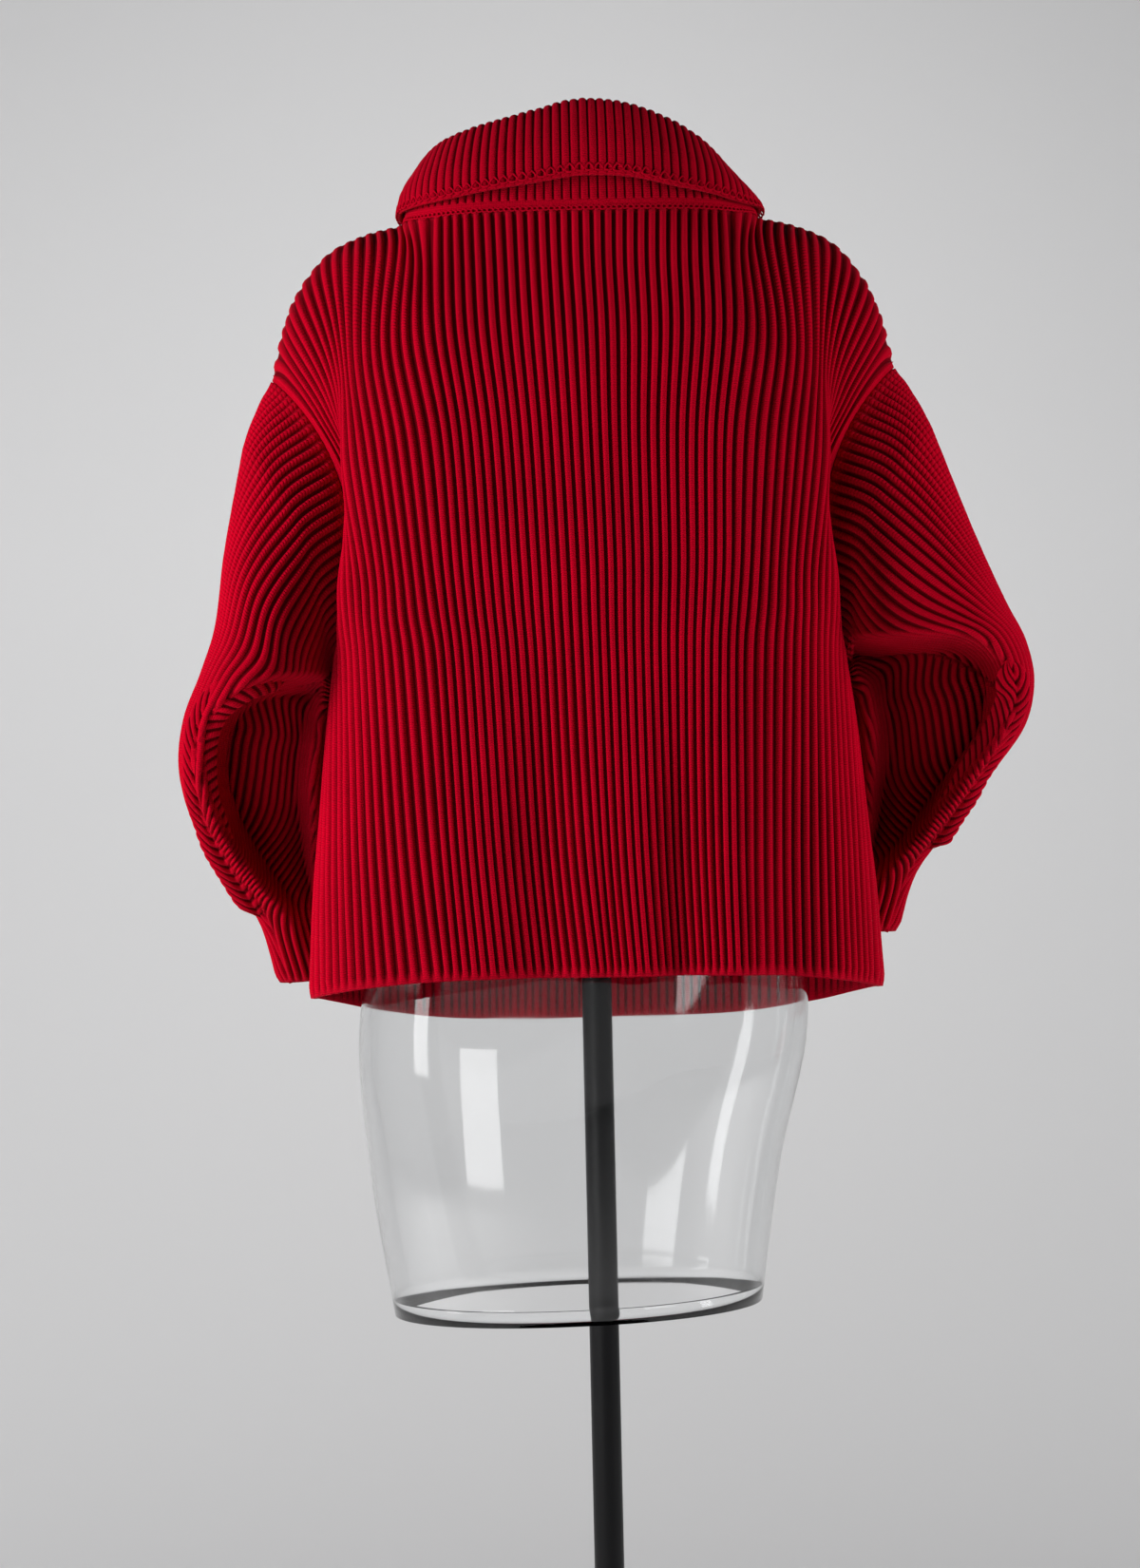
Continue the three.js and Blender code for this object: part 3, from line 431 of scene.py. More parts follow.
def half_top(facing, side):
    """A panel's top edge: along the neck seam, then along the shoulder seam. Also where its ribs end."""
    start = 0 if facing < 0 else math.pi
    end = side * math.pi / 2
    sweep = end if facing < 0 else end - side * math.pi
    neck = neck_seam(start + sweep * np.arange(NECK_STEPS) / NECK_STEPS)
    line = np.concatenate([neck, spline(on_side(SHOULDER, side), [SHOULDER_STEPS] * (len(SHOULDER) - 1))])
    marks = [(int(np.abs(np.abs(line[:, 0]) - out).argmin()), rib) for out, rib in TOP_RIBS]
    return line + np.array([0, facing * SEAM_GAP * 0.7, 0]), marks


def rib_points(halves, marks, begun, lean, ribs):
    """Points at rib coordinates across a panel, whose halves have marks of (sample, rib)."""
    left, right = halves
    line = np.concatenate([left[:0:-1], right])
    so_far = travelled(line)
    middle = len(left) - 1
    placed = [(SEAM_GAP / 2, -PANEL_RIBS), (SEAM_MARGIN, -begun), (so_far[middle], lean),
              (so_far[-1] - SEAM_MARGIN, begun), (so_far[-1] - SEAM_GAP / 2, PANEL_RIBS)]
    for side, half in zip((-1, 1), marks):
        for n, (sample, rib) in enumerate(half):
            drift = lean * LEAN_LEFT if n == 0 else 0
            placed.append((so_far[middle + side * sample], side * rib + drift))
    lengths, counts = zip(*sorted(placed))
    return at_lengths(line, np.interp(ribs, counts, lengths))


def panel_surface(name, facing, sections, row_step):
    """The cloth under a panel's ribs, as a fine grid, and the rib coordinate of each column."""
    half = rib_steps(PANEL_RIBS)
    ribs = np.concatenate([-half[:0:-1], half])
    halves, marks = zip(*(half_top(facing, side) for side in (-1, 1)))
    rows = [rib_points(halves, marks, SHOULDER_RIBS, 0, ribs)]
    for section in sections:
        halves, marks = zip(*(half_section(section, side, facing) for side in (-1, 1)))
        rows.append(rib_points(halves, marks, section.at_edge, section.lean, ribs))
    rows = np.array(rows)
    middle = len(ribs) // 2
    gaps = np.linalg.norm(np.diff(rows[:, middle], axis=0), axis=-1)
    gaps = np.maximum(gaps, np.linalg.norm(np.diff(rows[:, 0], axis=0), axis=-1) * 0.7)
    surface = spline(rows, np.maximum(2, np.round(gaps / row_step)).astype(int))
    surface[..., 1] += facing * soft_fold(name, surface)
    return surface, ribs


def rib_room(surface, ribs):
    """1 where the ribs have room to stand up, and 0 where they are squeezed flat."""
    pitch = np.linalg.norm(np.gradient(surface, axis=1), axis=-1) / np.gradient(ribs)
    return smooth(pitch, *FLAT_PITCH)


def seat_edge(surface, ribs, facing, column):
    """Brings a panel's edge exactly onto the armhole seam, and the last ribs beside it along with it."""
    turns = edge_turns(surface, facing, column)
    side = math.copysign(1, surface[0, column, 0])
    shift = armhole(side, np.nan_to_num(turns)) - surface[:, column]
    shift[np.isnan(turns)] = 0
    near = np.where(np.sign(ribs) == side, smooth(np.abs(ribs), PANEL_RIBS - SEATED_RIBS, PANEL_RIBS), 0)
    surface += shift[:, None, :] * near[None, :, None]


def edge_turns(surface, facing, column):
    """The turn on the armhole seam of each row's end, or NaN below the underarm."""
    turns = np.linspace(0, math.pi, 721) * -facing
    seam = armhole(math.copysign(1, surface[0, column, 0]), turns)
    gaps = np.linalg.norm(surface[:, column, None, :] - seam[None], axis=-1)
    nearest = turns[gaps.argmin(axis=1)]
    nearest[gaps.argmin(axis=1) == len(turns) - 1] = math.nan
    return nearest


def knit_panel(name, facing, sections, settings, material, seed):
    relief = settings.rib_relief / MM
    surface, ribs = panel_surface(name, facing, sections, settings.row_step / MM)
    for column in (0, -1):
        seat_edge(surface, ribs, facing, column)
    facings = grid_normals(surface) * facing
    share_near_edge = smooth(np.abs(ribs), PANEL_RIBS - FACING_BLEND, PANEL_RIBS)
    for column in (0, -1):
        turns = edge_turns(surface, facing, column)
        side = math.copysign(1, surface[0, column, 0])
        shared = armhole_facing(side, np.nan_to_num(turns), 1)
        known = ~np.isnan(turns)
        near = np.where(np.sign(ribs) == side, share_near_edge, 0)[None, :, None] * known[:, None, None]
        facings = unit(facings * (1 - near) + shared[:, None, :] * near)
    to_hem = travelled(surface[::-1])[::-1]
    from_top = travelled(surface)
    at_neck = np.abs(ribs) < NECK_RIBS
    share = smooth(to_hem, *HEM_BAND) * rib_start(from_top, np.where(at_neck, SHORT_RISE, RIB_RISE))
    share = share * rib_room(surface, ribs)
    height = rib_height(ribs) * share * uneven(ribs, surface.shape[0], seed)
    outer = surface + facings * (relief * height - VALLEY_SINK * share + hem_welt(to_hem))[..., None]
    stitches = from_top[:, len(ribs) // 2] / STITCH
    knit = np.stack(np.broadcast_arrays(ribs[None, :], stitches[:, None]), axis=-1)

    cloth = Shell()
    flip = facing > 0
    shown = cloth.grid(outer, knit, share)
    kept = np.flatnonzero(np.isclose(np.mod(ribs, 1), 0))
    hidden = cloth.grid(surface[:, kept] - facings[:, kept] * WALL, knit[:, kept], share[:, kept])
    cloth.fill(shown, flip)
    cloth.fill(hidden, not flip)
    cloth.fill(np.stack([shown[:, 0], hidden[:, 0]], axis=1), not flip)
    cloth.fill(np.stack([shown[:, -1], hidden[:, -1]], axis=1), flip)
    cloth.zip(shown[0], hidden[0], ribs, ribs[kept], not flip)
    cloth.zip(shown[-1], hidden[-1], ribs, ribs[kept], flip)
    return cloth.piece(name + "_knit", material)


def uneven(ribs, rows, seed):
    """Small differences between one rib and the next, and along each of them."""
    random = np.random.default_rng(seed)
    whole = np.floor(ribs).astype(int)
    whole -= whole.min()
    count = whole.max() + 1
    along = np.linspace(0, 1, rows)[:, None]
    scale = random.uniform(0.9, 1.08, count)[None, :]
    waves = sum(random.uniform(0.01, 0.05, count)[None, :]
                * np.sin(2 * math.pi * (wave * along + random.uniform(0, 1, count)[None, :]))
                for wave in (1.3, 3.1, 6.7))
    return (scale + waves)[:, whole]


def rib_start(from_edge, rise):
    """The share of its height that a rib has near the edge it starts from, where it rises to the whole."""
    return RIB_START + (1 - RIB_START) * smooth(from_edge, 0, rise)


def hem_welt(to_hem):
    """A soft roll along a finished edge."""
    height, place, width = WELT
    return height * np.exp(-((to_hem - place) / width) ** 2)


# ---- Sleeves ---------------------------------------------------------------------------------------
# Rings down a sleeve, x measured outward: the outer point, the inner point, the y of the outer point, how
# far the inner point lies in front of it (wrap), how deep the ring is to the back and to the front, how far
# its back and front points are drawn towards the body (pull) and raised (lift), the turn that the ribs are
# counted from (start), the turn of the sleeve's seam, in degrees from the outer point round by the back, and
# the width of a rib (pitch).
Ring = namedtuple("Ring", "out_x out_z in_x in_z y wrap back front pull lift start seam pitch")
Sleeve = namedtuple("Sleeve", "side ridge_z rim_width rings")
LEFT_SLEEVE = Sleeve(-1, 1034, 26, [
    Ring(286, 1228, 219, 1033, 3, 0, 83, 82, 17, 13, -62, 164, 9.3),
    Ring(303, 1140, 218, 1016, 0, 15, 92, 90, 4, 6, -88, 142, 9.3),
    Ring(312, 1078, 218, 1003, 0, 30, 93, 91, 0, 4, -108, 115, 9.3),
    Ring(325, 1040, 219, 988, 1, 40, 93, 91, 0, 4, -122, 85, 9.3),
    Ring(341, 1001, 222, 969, 5, 40, 91, 90, 0, 0, -130, 54, 9.3),
    Ring(347, 962, 226, 944, 15, 36, 85, 86, 0, 0, -128, 46, 9.0),
    Ring(339, 917, 230, 914, 31, 24, 73, 75, 0, 0, -122, 44, 8.6),
    Ring(318, 875, 236, 877, 52, 8, 57, 58, 0, 0, -112, 46, 8.0),
    Ring(289, 829, 235, 832, 76, 0, 38, 39, 0, 0, -98, 50, 7.4),
    Ring(275, 773, 225, 776, 93, 0, 27, 27, 0, 0, -88, 56, 6.6),
])
RIGHT_SLEEVE = Sleeve(1, 1056, 26, [
    Ring(291, 1232, 219, 1036, 3, 0, 83, 82, 20, 14, -62, 164, 9.3),
    Ring(326, 1138, 218, 1022, 0, 15, 92, 90, 8, 12, -88, 142, 9.3),
    Ring(350, 1082, 217, 1010, 0, 30, 93, 91, 0, 16, -108, 115, 9.3),
    Ring(365, 1052, 218, 998, 1, 40, 93, 91, 0, 14, -122, 85, 9.3),
    Ring(372, 1018, 220, 980, 5, 40, 91, 90, 0, 6, -130, 54, 9.3),
    Ring(366, 984, 224, 958, 15, 36, 85, 86, 0, 0, -128, 46, 9.0),
    Ring(342, 947, 228, 930, 31, 24, 73, 75, 0, 0, -122, 44, 8.6),
    Ring(313, 906, 233, 896, 52, 8, 57, 58, 0, 0, -112, 46, 8.0),
    Ring(278, 859, 230, 855, 76, 0, 37, 38, 0, 0, -98, 50, 7.4),
    Ring(262, 806, 217, 808, 92, 0, 26, 26, 0, 0, -88, 56, 6.6),
])
ARMHOLE_START, ARMHOLE_SEAM = -52.0, 180.0      # the same turns, on the armhole
HEAD_LENGTH = 70.0        # about how far the first ring lies from the armhole
RIM_ROUND = 13.0          # the width over which the ridge and the outer rim roll in
HOLLOW_CORNER = 42.0      # the round of the hollow's upper outer corner
DENT_DEPTH = 82.0         # how far the cloth under the elbow ridge lies in front of the ridge
HOLLOW_PITCH = 7.7        # the width of a rib in the hollow under the elbow ridge
HOLLOW_SIDES = (0.15, 0.75)     # the shares of a ring's depth between which the hollow's side walls lie
HOLLOW_ENDS = (24, 80)    # rings from the second depth down to the first lose their hollow
RING_SAMPLES = 720
ROUND = np.linspace(0, 2 * math.pi, RING_SAMPLES + 1)


def armhole_ring(side, turn):
    """The sleeve's first ring, a gap outside the armhole seam and further off the body at the underarm."""
    away = quarter_loop([(side * 0.3, 0, -1), (side, 0, -0.5),
                         (side * UNDERARM_CLEARANCE / ARMHOLE_GAP, 0, -1), (side, 0, -0.5)], turn)
    return armhole(side, turn) + away * ARMHOLE_GAP


def ring_quarters(ring, side):
    outer = np.stack([side * ring.out_x, ring.y, ring.out_z], axis=-1)
    inner = np.stack([side * ring.in_x, ring.y, ring.in_z], axis=-1)
    middle = (outer + inner) / 2 + np.stack([-side * ring.pull, 0 * ring.y, ring.lift], axis=-1)
    depth = np.array([0, 1, 0])
    return [outer, middle - ring.back[:, None] * depth, inner + ring.wrap[:, None] * depth,
            middle + ring.front[:, None] * depth]


def dent(points, ring, shape):
    """Under the elbow ridge the back of the sleeve is pushed in, as far as the rolled outer rim."""
    under = shape.ridge_z - points[..., 2]
    inside = (ring.out_x - shape.rim_width)[:, None] - np.abs(points[..., 0])
    into = HOLLOW_CORNER - np.hypot(*(np.maximum(HOLLOW_CORNER - reach, 0) for reach in (under, inside)))
    behind = smooth((ring.y[:, None] - points[..., 1]) / ring.back[:, None], *HOLLOW_SIDES)
    ends = smooth(ring.back, *HOLLOW_ENDS)[:, None]
    return DENT_DEPTH * smooth(into, -RIM_ROUND / 3, RIM_ROUND) * behind * ends


def sleeve_rings(shape, row_step):
    """The numbers of every row of a sleeve below its first ring."""
    table = np.array(shape.rings, float)
    gaps = np.abs(np.diff(table[:, 1])) + np.abs(np.diff(table[:, 0])) * 0.5
    fine = spline(table, np.maximum(3, np.round(gaps / row_step)).astype(int))
    return Ring(*fine.T)


def sleeve_lines(shape, row_step):
    """Closed lines round the sleeve, as (rows, samples, 3), and the turns and rib settings of each."""
    rings = sleeve_rings(shape, row_step)
    turns = np.radians(rings.start)[:, None] + ROUND
    dented = quarter_loop(ring_quarters(rings, shape.side), turns)
    dented[..., 1] += dent(dented, rings, shape)

    # From the armhole to the first ring.
    steps = max(4, int(round(HEAD_LENGTH / row_step)))
    share = np.linspace(0, 1, steps + 1)[:-1]
    head_turns = np.radians(ARMHOLE_START + (rings.start[0] - ARMHOLE_START) * share)[:, None] + ROUND
    first, second = (Ring(*np.tile(np.array(ring, float)[:, None], steps)) for ring in shape.rings[:2])
    start = armhole_ring(shape.side, head_turns)
    middle, after = (quarter_loop(ring_quarters(ring, shape.side), head_turns) for ring in (first, second))
    head = bend(start, middle, middle - start, (after - start) / 2, share[:, None, None])
    seam = np.concatenate([ARMHOLE_SEAM + (rings.seam[0] - ARMHOLE_SEAM) * share, rings.seam])
    pitch = np.concatenate([np.full(steps, rings.pitch[0]), rings.pitch])
    under = np.concatenate([np.zeros(steps), smooth(shape.ridge_z - rings.out_z, -20, 30)])
    hollow_pitch = pitch + (np.minimum(pitch, HOLLOW_PITCH) - pitch) * under
    return np.concatenate([head, dented]), np.concatenate([head_turns, turns]), seam, pitch, hollow_pitch


def sleeve_halves(lines):
    """Both ways round each line from the first rib to the seam: points, turns and rib coordinates."""
    half_rows = [[], []]
    for line, turns, seam, pitch, hollow_pitch in zip(*lines):
        so_far = travelled(line)
        at_seam, at_inner = np.interp([math.radians(seam), math.pi], turns, so_far)
        outer_way = so_far / pitch
        past_inner = np.maximum(at_inner - so_far, 0)
        inner_way = (so_far[-1] - so_far - past_inner) / pitch + past_inner / hollow_pitch
        for rows, counted, order in ((half_rows[0], outer_way, 1), (half_rows[1], inner_way, -1)):
            reach = np.interp(at_seam, so_far, counted)
            ribs = rib_steps(reach)
            ribs = np.append(ribs[ribs < reach - 0.02], reach)
            lengths = np.interp(ribs, counted[::order], so_far[::order])
            rows.append((at_lengths(line, lengths), np.interp(lengths, so_far, turns), ribs))
    return half_rows


def padded_rows(rows, width):
    """Rows of unlike length as one array, with each row's last entry repeated to the width."""
    picks = [np.minimum(np.arange(width), len(ribs) - 1) for _, _, ribs in rows]
    points, turns, ribs = (np.array([row[part][pick] for row, pick in zip(rows, picks)]) for part in range(3))
    return points, turns, ribs, np.array(picks)


def sleeve_facings(lines, turns):
    """Outward directions at the given turns of each line, worked out on the whole sleeve."""
    cloth, own_turns, *_ = lines
    even = np.linspace(-math.pi, math.pi, RING_SAMPLES + 1)
    wrapped = np.mod(own_turns[:, :-1] + math.pi, 2 * math.pi) - math.pi
    sheet = []
    for row, own in zip(cloth, wrapped):
        order = np.argsort(own)
        sheet.append(between(even[:-1], own[order], row[:-1][order], period=2 * math.pi))
    normals = grid_normals(np.array(sheet), closed=True)
    normals = np.concatenate([normals, normals[:, :1]], axis=1)
    at = np.mod(turns + math.pi, 2 * math.pi) - math.pi
    return unit(np.array([between(places, even, row) for places, row in zip(at, normals)]))


def sleeve_half(cloth, rows, way, shape, lines, along, relief):
    """One way round a sleeve: the indices of its shown and hidden points, and where the hidden ones lie."""
    width = max(len(ribs) for _, _, ribs in rows)
    points, turns, ribs, picks = padded_rows(rows, width)
    near = smooth(along, 12, 0)[:, None, None]
    facings = sleeve_facings(lines, turns) * shape.side * (1 - near)
    facings = unit(facings + armhole_facing(shape.side, turns, -1) * near)
    to_cuff = (along[-1] - along)[:, None]
    share = smooth(to_cuff, *HEM_BAND) * rib_start(along, RIB_RISE)[:, None]
    beside_seam = smooth(ribs[:, -1:] - ribs, 0, 0.35)
    height = rib_height(ribs) * share * beside_seam + 0.5 * (1 - beside_seam)
    outer = points + facings * (relief * height - VALLEY_SINK * share + hem_welt(to_cuff))[..., None]
    knit = np.stack([way * ribs, np.broadcast_to((along / STITCH)[:, None], ribs.shape)], axis=-1)
    shown = np.take_along_axis(cloth.grid(outer, knit, share), picks, axis=1)
    kept = np.arange(0, width, len(RIB_COLUMNS))
    kept = np.append(kept, width - 1) if kept[-1] != width - 1 else kept
    hidden = cloth.grid(points[:, kept] - facings[:, kept] * WALL, knit[:, kept], share)
    inner_picks = np.minimum(kept[None, :], picks[:, -1:])
    keep_ids = np.array([np.searchsorted(kept, pick) for pick in inner_picks])
    hidden = np.take_along_axis(hidden, np.minimum(keep_ids, len(kept) - 1), axis=1)
    return shown, hidden, inner_picks


def knit_sleeve(name, shape, settings, material):
    lines = sleeve_lines(shape, settings.row_step / MM)
    along = travelled(lines[0][:, RING_SAMPLES // 2])
    cloth = Shell()
    first, second = (sleeve_half(cloth, rows, way, shape, lines, along, settings.rib_relief / MM)
                     for way, rows in zip((1, -1), sleeve_halves(lines)))
    for ids, joined in zip(second[:2], first[:2]):
        ids[:, 0] = joined[:, 0]
        ids[:] = np.where(ids == ids[:, -1:], joined[:, -1:], ids)
    for (shown, hidden, inner_picks), flip in ((first, shape.side > 0), (second, shape.side < 0)):
        cloth.fill(shown, flip)
        cloth.fill(hidden, not flip)
        for row, turned_over in ((0, not flip), (-1, flip)):
            places = np.minimum(np.arange(shown.shape[1]), inner_picks[row, -1])
            cloth.zip(shown[row], hidden[row], places, inner_picks[row], turned_over)
    return cloth.piece(name + "_knit", material)


# The rolled seam along the edge of each hollow: points (x, y, z) down its middle, the slants of its outer and
# inner strands, as the way along for each bit of the way across, and its half width.
Roll = namedtuple("Roll", "points outer_slant inner_slant half")
LEFT_ROLL = Roll([
    (-243, -52, 1036), (-262, -72, 1036), (-282, -82, 1030), (-297, -80, 1022), (-310, -74, 1012),
    (-318, -67, 1001), (-324, -61, 986), (-327, -51, 967), (-328, -42, 950), (-327, -31, 931),
    (-323, -18, 914), (-318, -6, 895), (-310, 8, 877), (-301, 24, 859), (-291, 38, 840),
    (-287, 46, 827)], 1.4, 0.75, 14.5)
RIGHT_ROLL = Roll([
    (346, -78, 1032), (349, -68, 1018), (351, -62, 1005), (346, -50, 987), (338, -38, 970),
    (330, -28, 955), (322, -16, 941), (314, -4, 924), (305, 8, 909), (296, 21, 893),
    (289, 29, 882), (285, 36, 872)], 1.1, 1.9, 14.0)
ROLL_TURNS = 56           # columns of the mesh round a rolled seam
ROLL_HEIGHT = 9.5         # half its thickness
ROLL_STEP = 1.3           # between two rows of its mesh
ROLL_OUT = 2.5            # how far it stands out of the cloth
ROLL_END = 22.0           # the length over which each end sinks into the cloth
ROLL_SUNK = 7.0           # how deep an end lies in it
STRAND_RELIEF = 3.4
CREASE = (2.4, 2.2)       # the depth and the width of the crease where the strands meet


def roll_seam(name, side, roll, settings, material):
    """A roll of strands that meet in a V down its middle, half sunk in the sleeve's cloth."""
    middle = spline(roll.points, [16] * (len(roll.points) - 1))
    reach = travelled(middle)[-1]
    middle = at_lengths(middle, np.linspace(0, reach, int(reach / ROLL_STEP)))
    so_far = travelled(middle)[:, None]
    along = unit(np.gradient(middle, axis=0))
    outward = np.array([side * 0.25, -0.97, 0.0]) + 0 * along
    outward = unit(outward - along * (outward * along).sum(axis=1, keepdims=True))
    across = np.cross(along, outward)
    turns = np.linspace(-math.pi, math.pi, ROLL_TURNS + 1)[None, :-1]
    wide = np.sin(turns) * roll.half
    slant = np.where(wide * side < 0, roll.outer_slant, roll.inner_slant)
    strand = (so_far + np.abs(wide) * slant) / (settings.strand_pitch / MM)
    front = smooth(np.cos(turns), -0.35, 0.25)
    ends = np.sqrt(smooth(so_far, 0, ROLL_END) * smooth(so_far[-1, 0] - so_far, 0, ROLL_END))
    plump = np.abs(np.sin(math.pi * strand)) ** 0.6
    crease = CREASE[0] * np.exp(-(wide / CREASE[1]) ** 2)
    bump = front * (STRAND_RELIEF * (plump - 0.6) - crease)
    wide = (wide + bump * np.sin(turns)) * ends
    high = np.cos(turns) * ROLL_HEIGHT + bump * np.cos(turns) - ROLL_HEIGHT + ROLL_OUT
    high = high * ends - ROLL_SUNK * (1 - ends)
    points = middle[:, None] + across[:, None] * wide[..., None] + outward[:, None] * high[..., None]
    knit = np.stack([strand, wide * np.hypot(1, slant) / STITCH], axis=-1)
    seam = Shell()
    ids = seam.grid(points, knit, 1.0, closed=True)
    ids[0], ids[-1] = ids[0, 0], ids[-1, 0]
    seam.fill(ids, True)
    return seam.piece(name, material)


# ---- Neckband and collar ---------------------------------------------------------------------------
# How the folded collar lies round the neck, from the nape by the wearer's right: the turn in degrees, the
# heights of its fold and of its free edge, and how far out from the neck seam each of them is.
Lie = namedtuple("Lie", "turn fold_z edge_z fold_out edge_out")
COLLAR_LIES = [
    Lie(0, 1496, 1432, -11, 8), Lie(15, 1493, 1431, -11, 8), Lie(30, 1482, 1424, -12, 8),
    Lie(45, 1467, 1419, -12, 8), Lie(62, 1449, 1414, -14, 7), Lie(90, 1430, 1415, -14, 5),
    Lie(135, 1424, 1401, -11, 8), Lie(180, 1426, 1391, -8, 11), Lie(225, 1436, 1402, -11, 8),
    Lie(270, 1449, 1416, -14, 5), Lie(298, 1466, 1417, -14, 7), Lie(315, 1474, 1419, -12, 8),
    Lie(330, 1481, 1423, -12, 8), Lie(345, 1488, 1427, -11, 8),
]
# The collar's cloth from the neckband up to its fold, then down to its free edge: the share of the height and
# of the way out, the millimetres added to the way out, and those taken off the height.
Station = namedtuple("Station", "part height out step sink")
COLLAR_STATIONS = [
    Station("rise", 0, 0, 0, 0),
    Station("rise", 0.28, 0.3, -0.5, 0),
    Station("rise", 1, 1, -5, 6),
    Station("rise", 1, 1, 0, 0),
    Station("fall", 0, 0, 6, 5),
    Station("fall", 0.5, 0.6, 6, 3),
    Station("fall", 1, 1, 1.5, 0),
]
COLLAR_ROW_STEP = 3.2
COLLAR_START = (0.0, 2.5)       # from the neckband, ribs start and have their full height
COLLAR_EDGE = (1.0, 5.0)        # the same from the free edge
INSIDE_RIBS = (42, 30)    # up the inside, ribs are gone at the first length and whole up to the second
COLLAR_SINK = 0.5         # how far the valleys lie in from the plain cloth
NECK_SAMPLES = 1440       # along the neck seam, to measure it
CHAIN_SAMPLES = 480       # on the path of its chain


def collar_lies(turn):
    """The collar's lie at the given turns, changing smoothly from one row of the table to the next."""
    table = np.array(COLLAR_LIES, float)
    around = np.concatenate([table - [360, 0, 0, 0, 0], table, table + [360, 0, 0, 0, 0]])
    fine = spline(around, [8] * (len(around) - 1))
    degrees = np.mod(np.degrees(turn), 360)
    return Lie(degrees, *(np.interp(degrees, fine[:, 0], column) for column in fine.T[1:]))


def neck_outward(turn):
    along = neck_seam(turn + 0.01) - neck_seam(turn - 0.01)
    flat = np.stack([along[..., 1], -along[..., 0], np.zeros(along.shape[:-1])], axis=-1)
    return unit(flat)


def neck_point(turn, out, rise):
    return neck_seam(turn) + neck_outward(turn) * np.asarray(out)[..., None] + np.array([0, 0, 1]) * rise


def collar_point(station, turn, lie):
    foot = neck_point(turn, -WALL / 2, NECKBAND_TOP - 2)
    if station.part == "rise":
        out = lie.fold_out * station.out
        height = foot[..., 2] + (lie.fold_z - foot[..., 2]) * station.height
    else:
        out = lie.fold_out + (lie.edge_out - lie.fold_out) * station.out
        height = lie.fold_z + (lie.edge_z - lie.fold_z) * station.height
    point = foot + neck_outward(turn) * (out + station.step)[..., None]
    point[..., 2] = height - station.sink
    return point


def turns_along_neck(shares):
    """Turns at shares of the neck seam's length."""
    fine = np.linspace(0, 2 * math.pi, NECK_SAMPLES + 1)
    so_far = travelled(neck_seam(fine))
    return np.interp(shares * so_far[-1], so_far, fine)


def collar_cloth():
    """The middle of the collar's cloth, the way it faces, and the rib coordinate of each column."""
    ribs = (np.arange(COLLAR_RIBS)[:, None] + np.array(RIB_COLUMNS)).ravel()
    turns = turns_along_neck(ribs / COLLAR_RIBS)
    lie = collar_lies(turns)
    rows = np.array([collar_point(station, turns, lie) for station in COLLAR_STATIONS])
    gaps = np.linalg.norm(np.diff(rows, axis=0), axis=-1).max(axis=1)
    middle = spline(rows, np.maximum(5, np.round(gaps / COLLAR_ROW_STEP)).astype(int))
    return middle, -grid_normals(middle, closed=True), ribs


def knit_collar(settings, material):
    relief = settings.rib_relief / MM * COLLAR_RELIEF
    middle, facings, ribs = collar_cloth()
    so_far = travelled(middle)
    share = smooth(so_far, *COLLAR_START) * smooth(so_far[-1] - so_far, *COLLAR_EDGE)
    height = rib_height(ribs, CLOSE_HEIGHTS) * share * uneven(ribs, len(middle), 31)
    outer = middle + facings * (WALL / 2 + relief * height - COLLAR_SINK * share)[..., None]
    below_fold = smooth(so_far, *INSIDE_RIBS)
    back_height = relief * height * below_fold
    inner = middle - facings * (WALL / 2 + back_height - COLLAR_SINK * share * below_fold)[..., None]
    knit = np.stack([np.broadcast_to(ribs, share.shape), so_far / STITCH], axis=-1)
    cloth = Shell()
    shown = cloth.grid(outer, knit, share, closed=True)
    hidden = cloth.grid(inner, knit, share, closed=True)
    cloth.fill(shown)
    cloth.fill(hidden, True)
    cloth.fill(np.stack([shown[0], hidden[0]]), True)
    cloth.fill(np.stack([shown[-1], hidden[-1]]))
    return cloth.piece("collar_knit", material)


# The neckband's cut, as (out, rise) from its foot.
BAND_PROFILE = [(-1.2, -2.2), (0.3, -1.6), (0.8, 0.6), (0.9, 3.0), (0.8, 5.2), (0.4, 6.8), (-0.4, 7.5),
                (-2.4, 7.2), (-3.0, 5.4), (-3.0, 1.5), (-2.6, -0.5), (-2.2, -1.8)]


def knit_neckband(material):
    turns = np.linspace(0, 2 * math.pi, 361)[:-1]
    rows = np.array([neck_point(turns, np.full(turns.shape, out - SEAM_GAP), NECKBAND_FOOT + rise)
                     for out, rise in BAND_PROFILE + BAND_PROFILE[:1]])
    so_far = travelled(rows)
    stitches = travelled(neck_seam(np.append(turns, 2 * math.pi)))[:-1] / (STITCH * 1.15)
    knit = np.stack([np.broadcast_to(stitches, so_far.shape), so_far / STITCH], axis=-1)
    cloth = Shell()
    ids = cloth.grid(rows[:-1], knit[:-1], closed=True)
    cloth.fill(np.concatenate([ids, ids[:1]]), True)
    return cloth.piece("neckband_knit", material)


# ---- Node helpers ----------------------------------------------------------------------------------
def node(tree, kind, place=(0, 0), inputs=None, **settings):
    """Adds a node, sets its properties and its inputs, and links the inputs that are sockets."""
    added = tree.nodes.new(kind)
    added.location = place
    for key, value in settings.items():
        setattr(added, key, value)
    for key, value in (inputs or {}).items():
        if isinstance(value, bpy.types.NodeSocket):
            tree.links.new(value, added.inputs[key])
        else:
            added.inputs[key].default_value = value
    return added


def maths(tree, operation, first, second=0.0):
    return node(tree, "ShaderNodeMath", operation=operation, inputs={0: first, 1: second}).outputs[0]


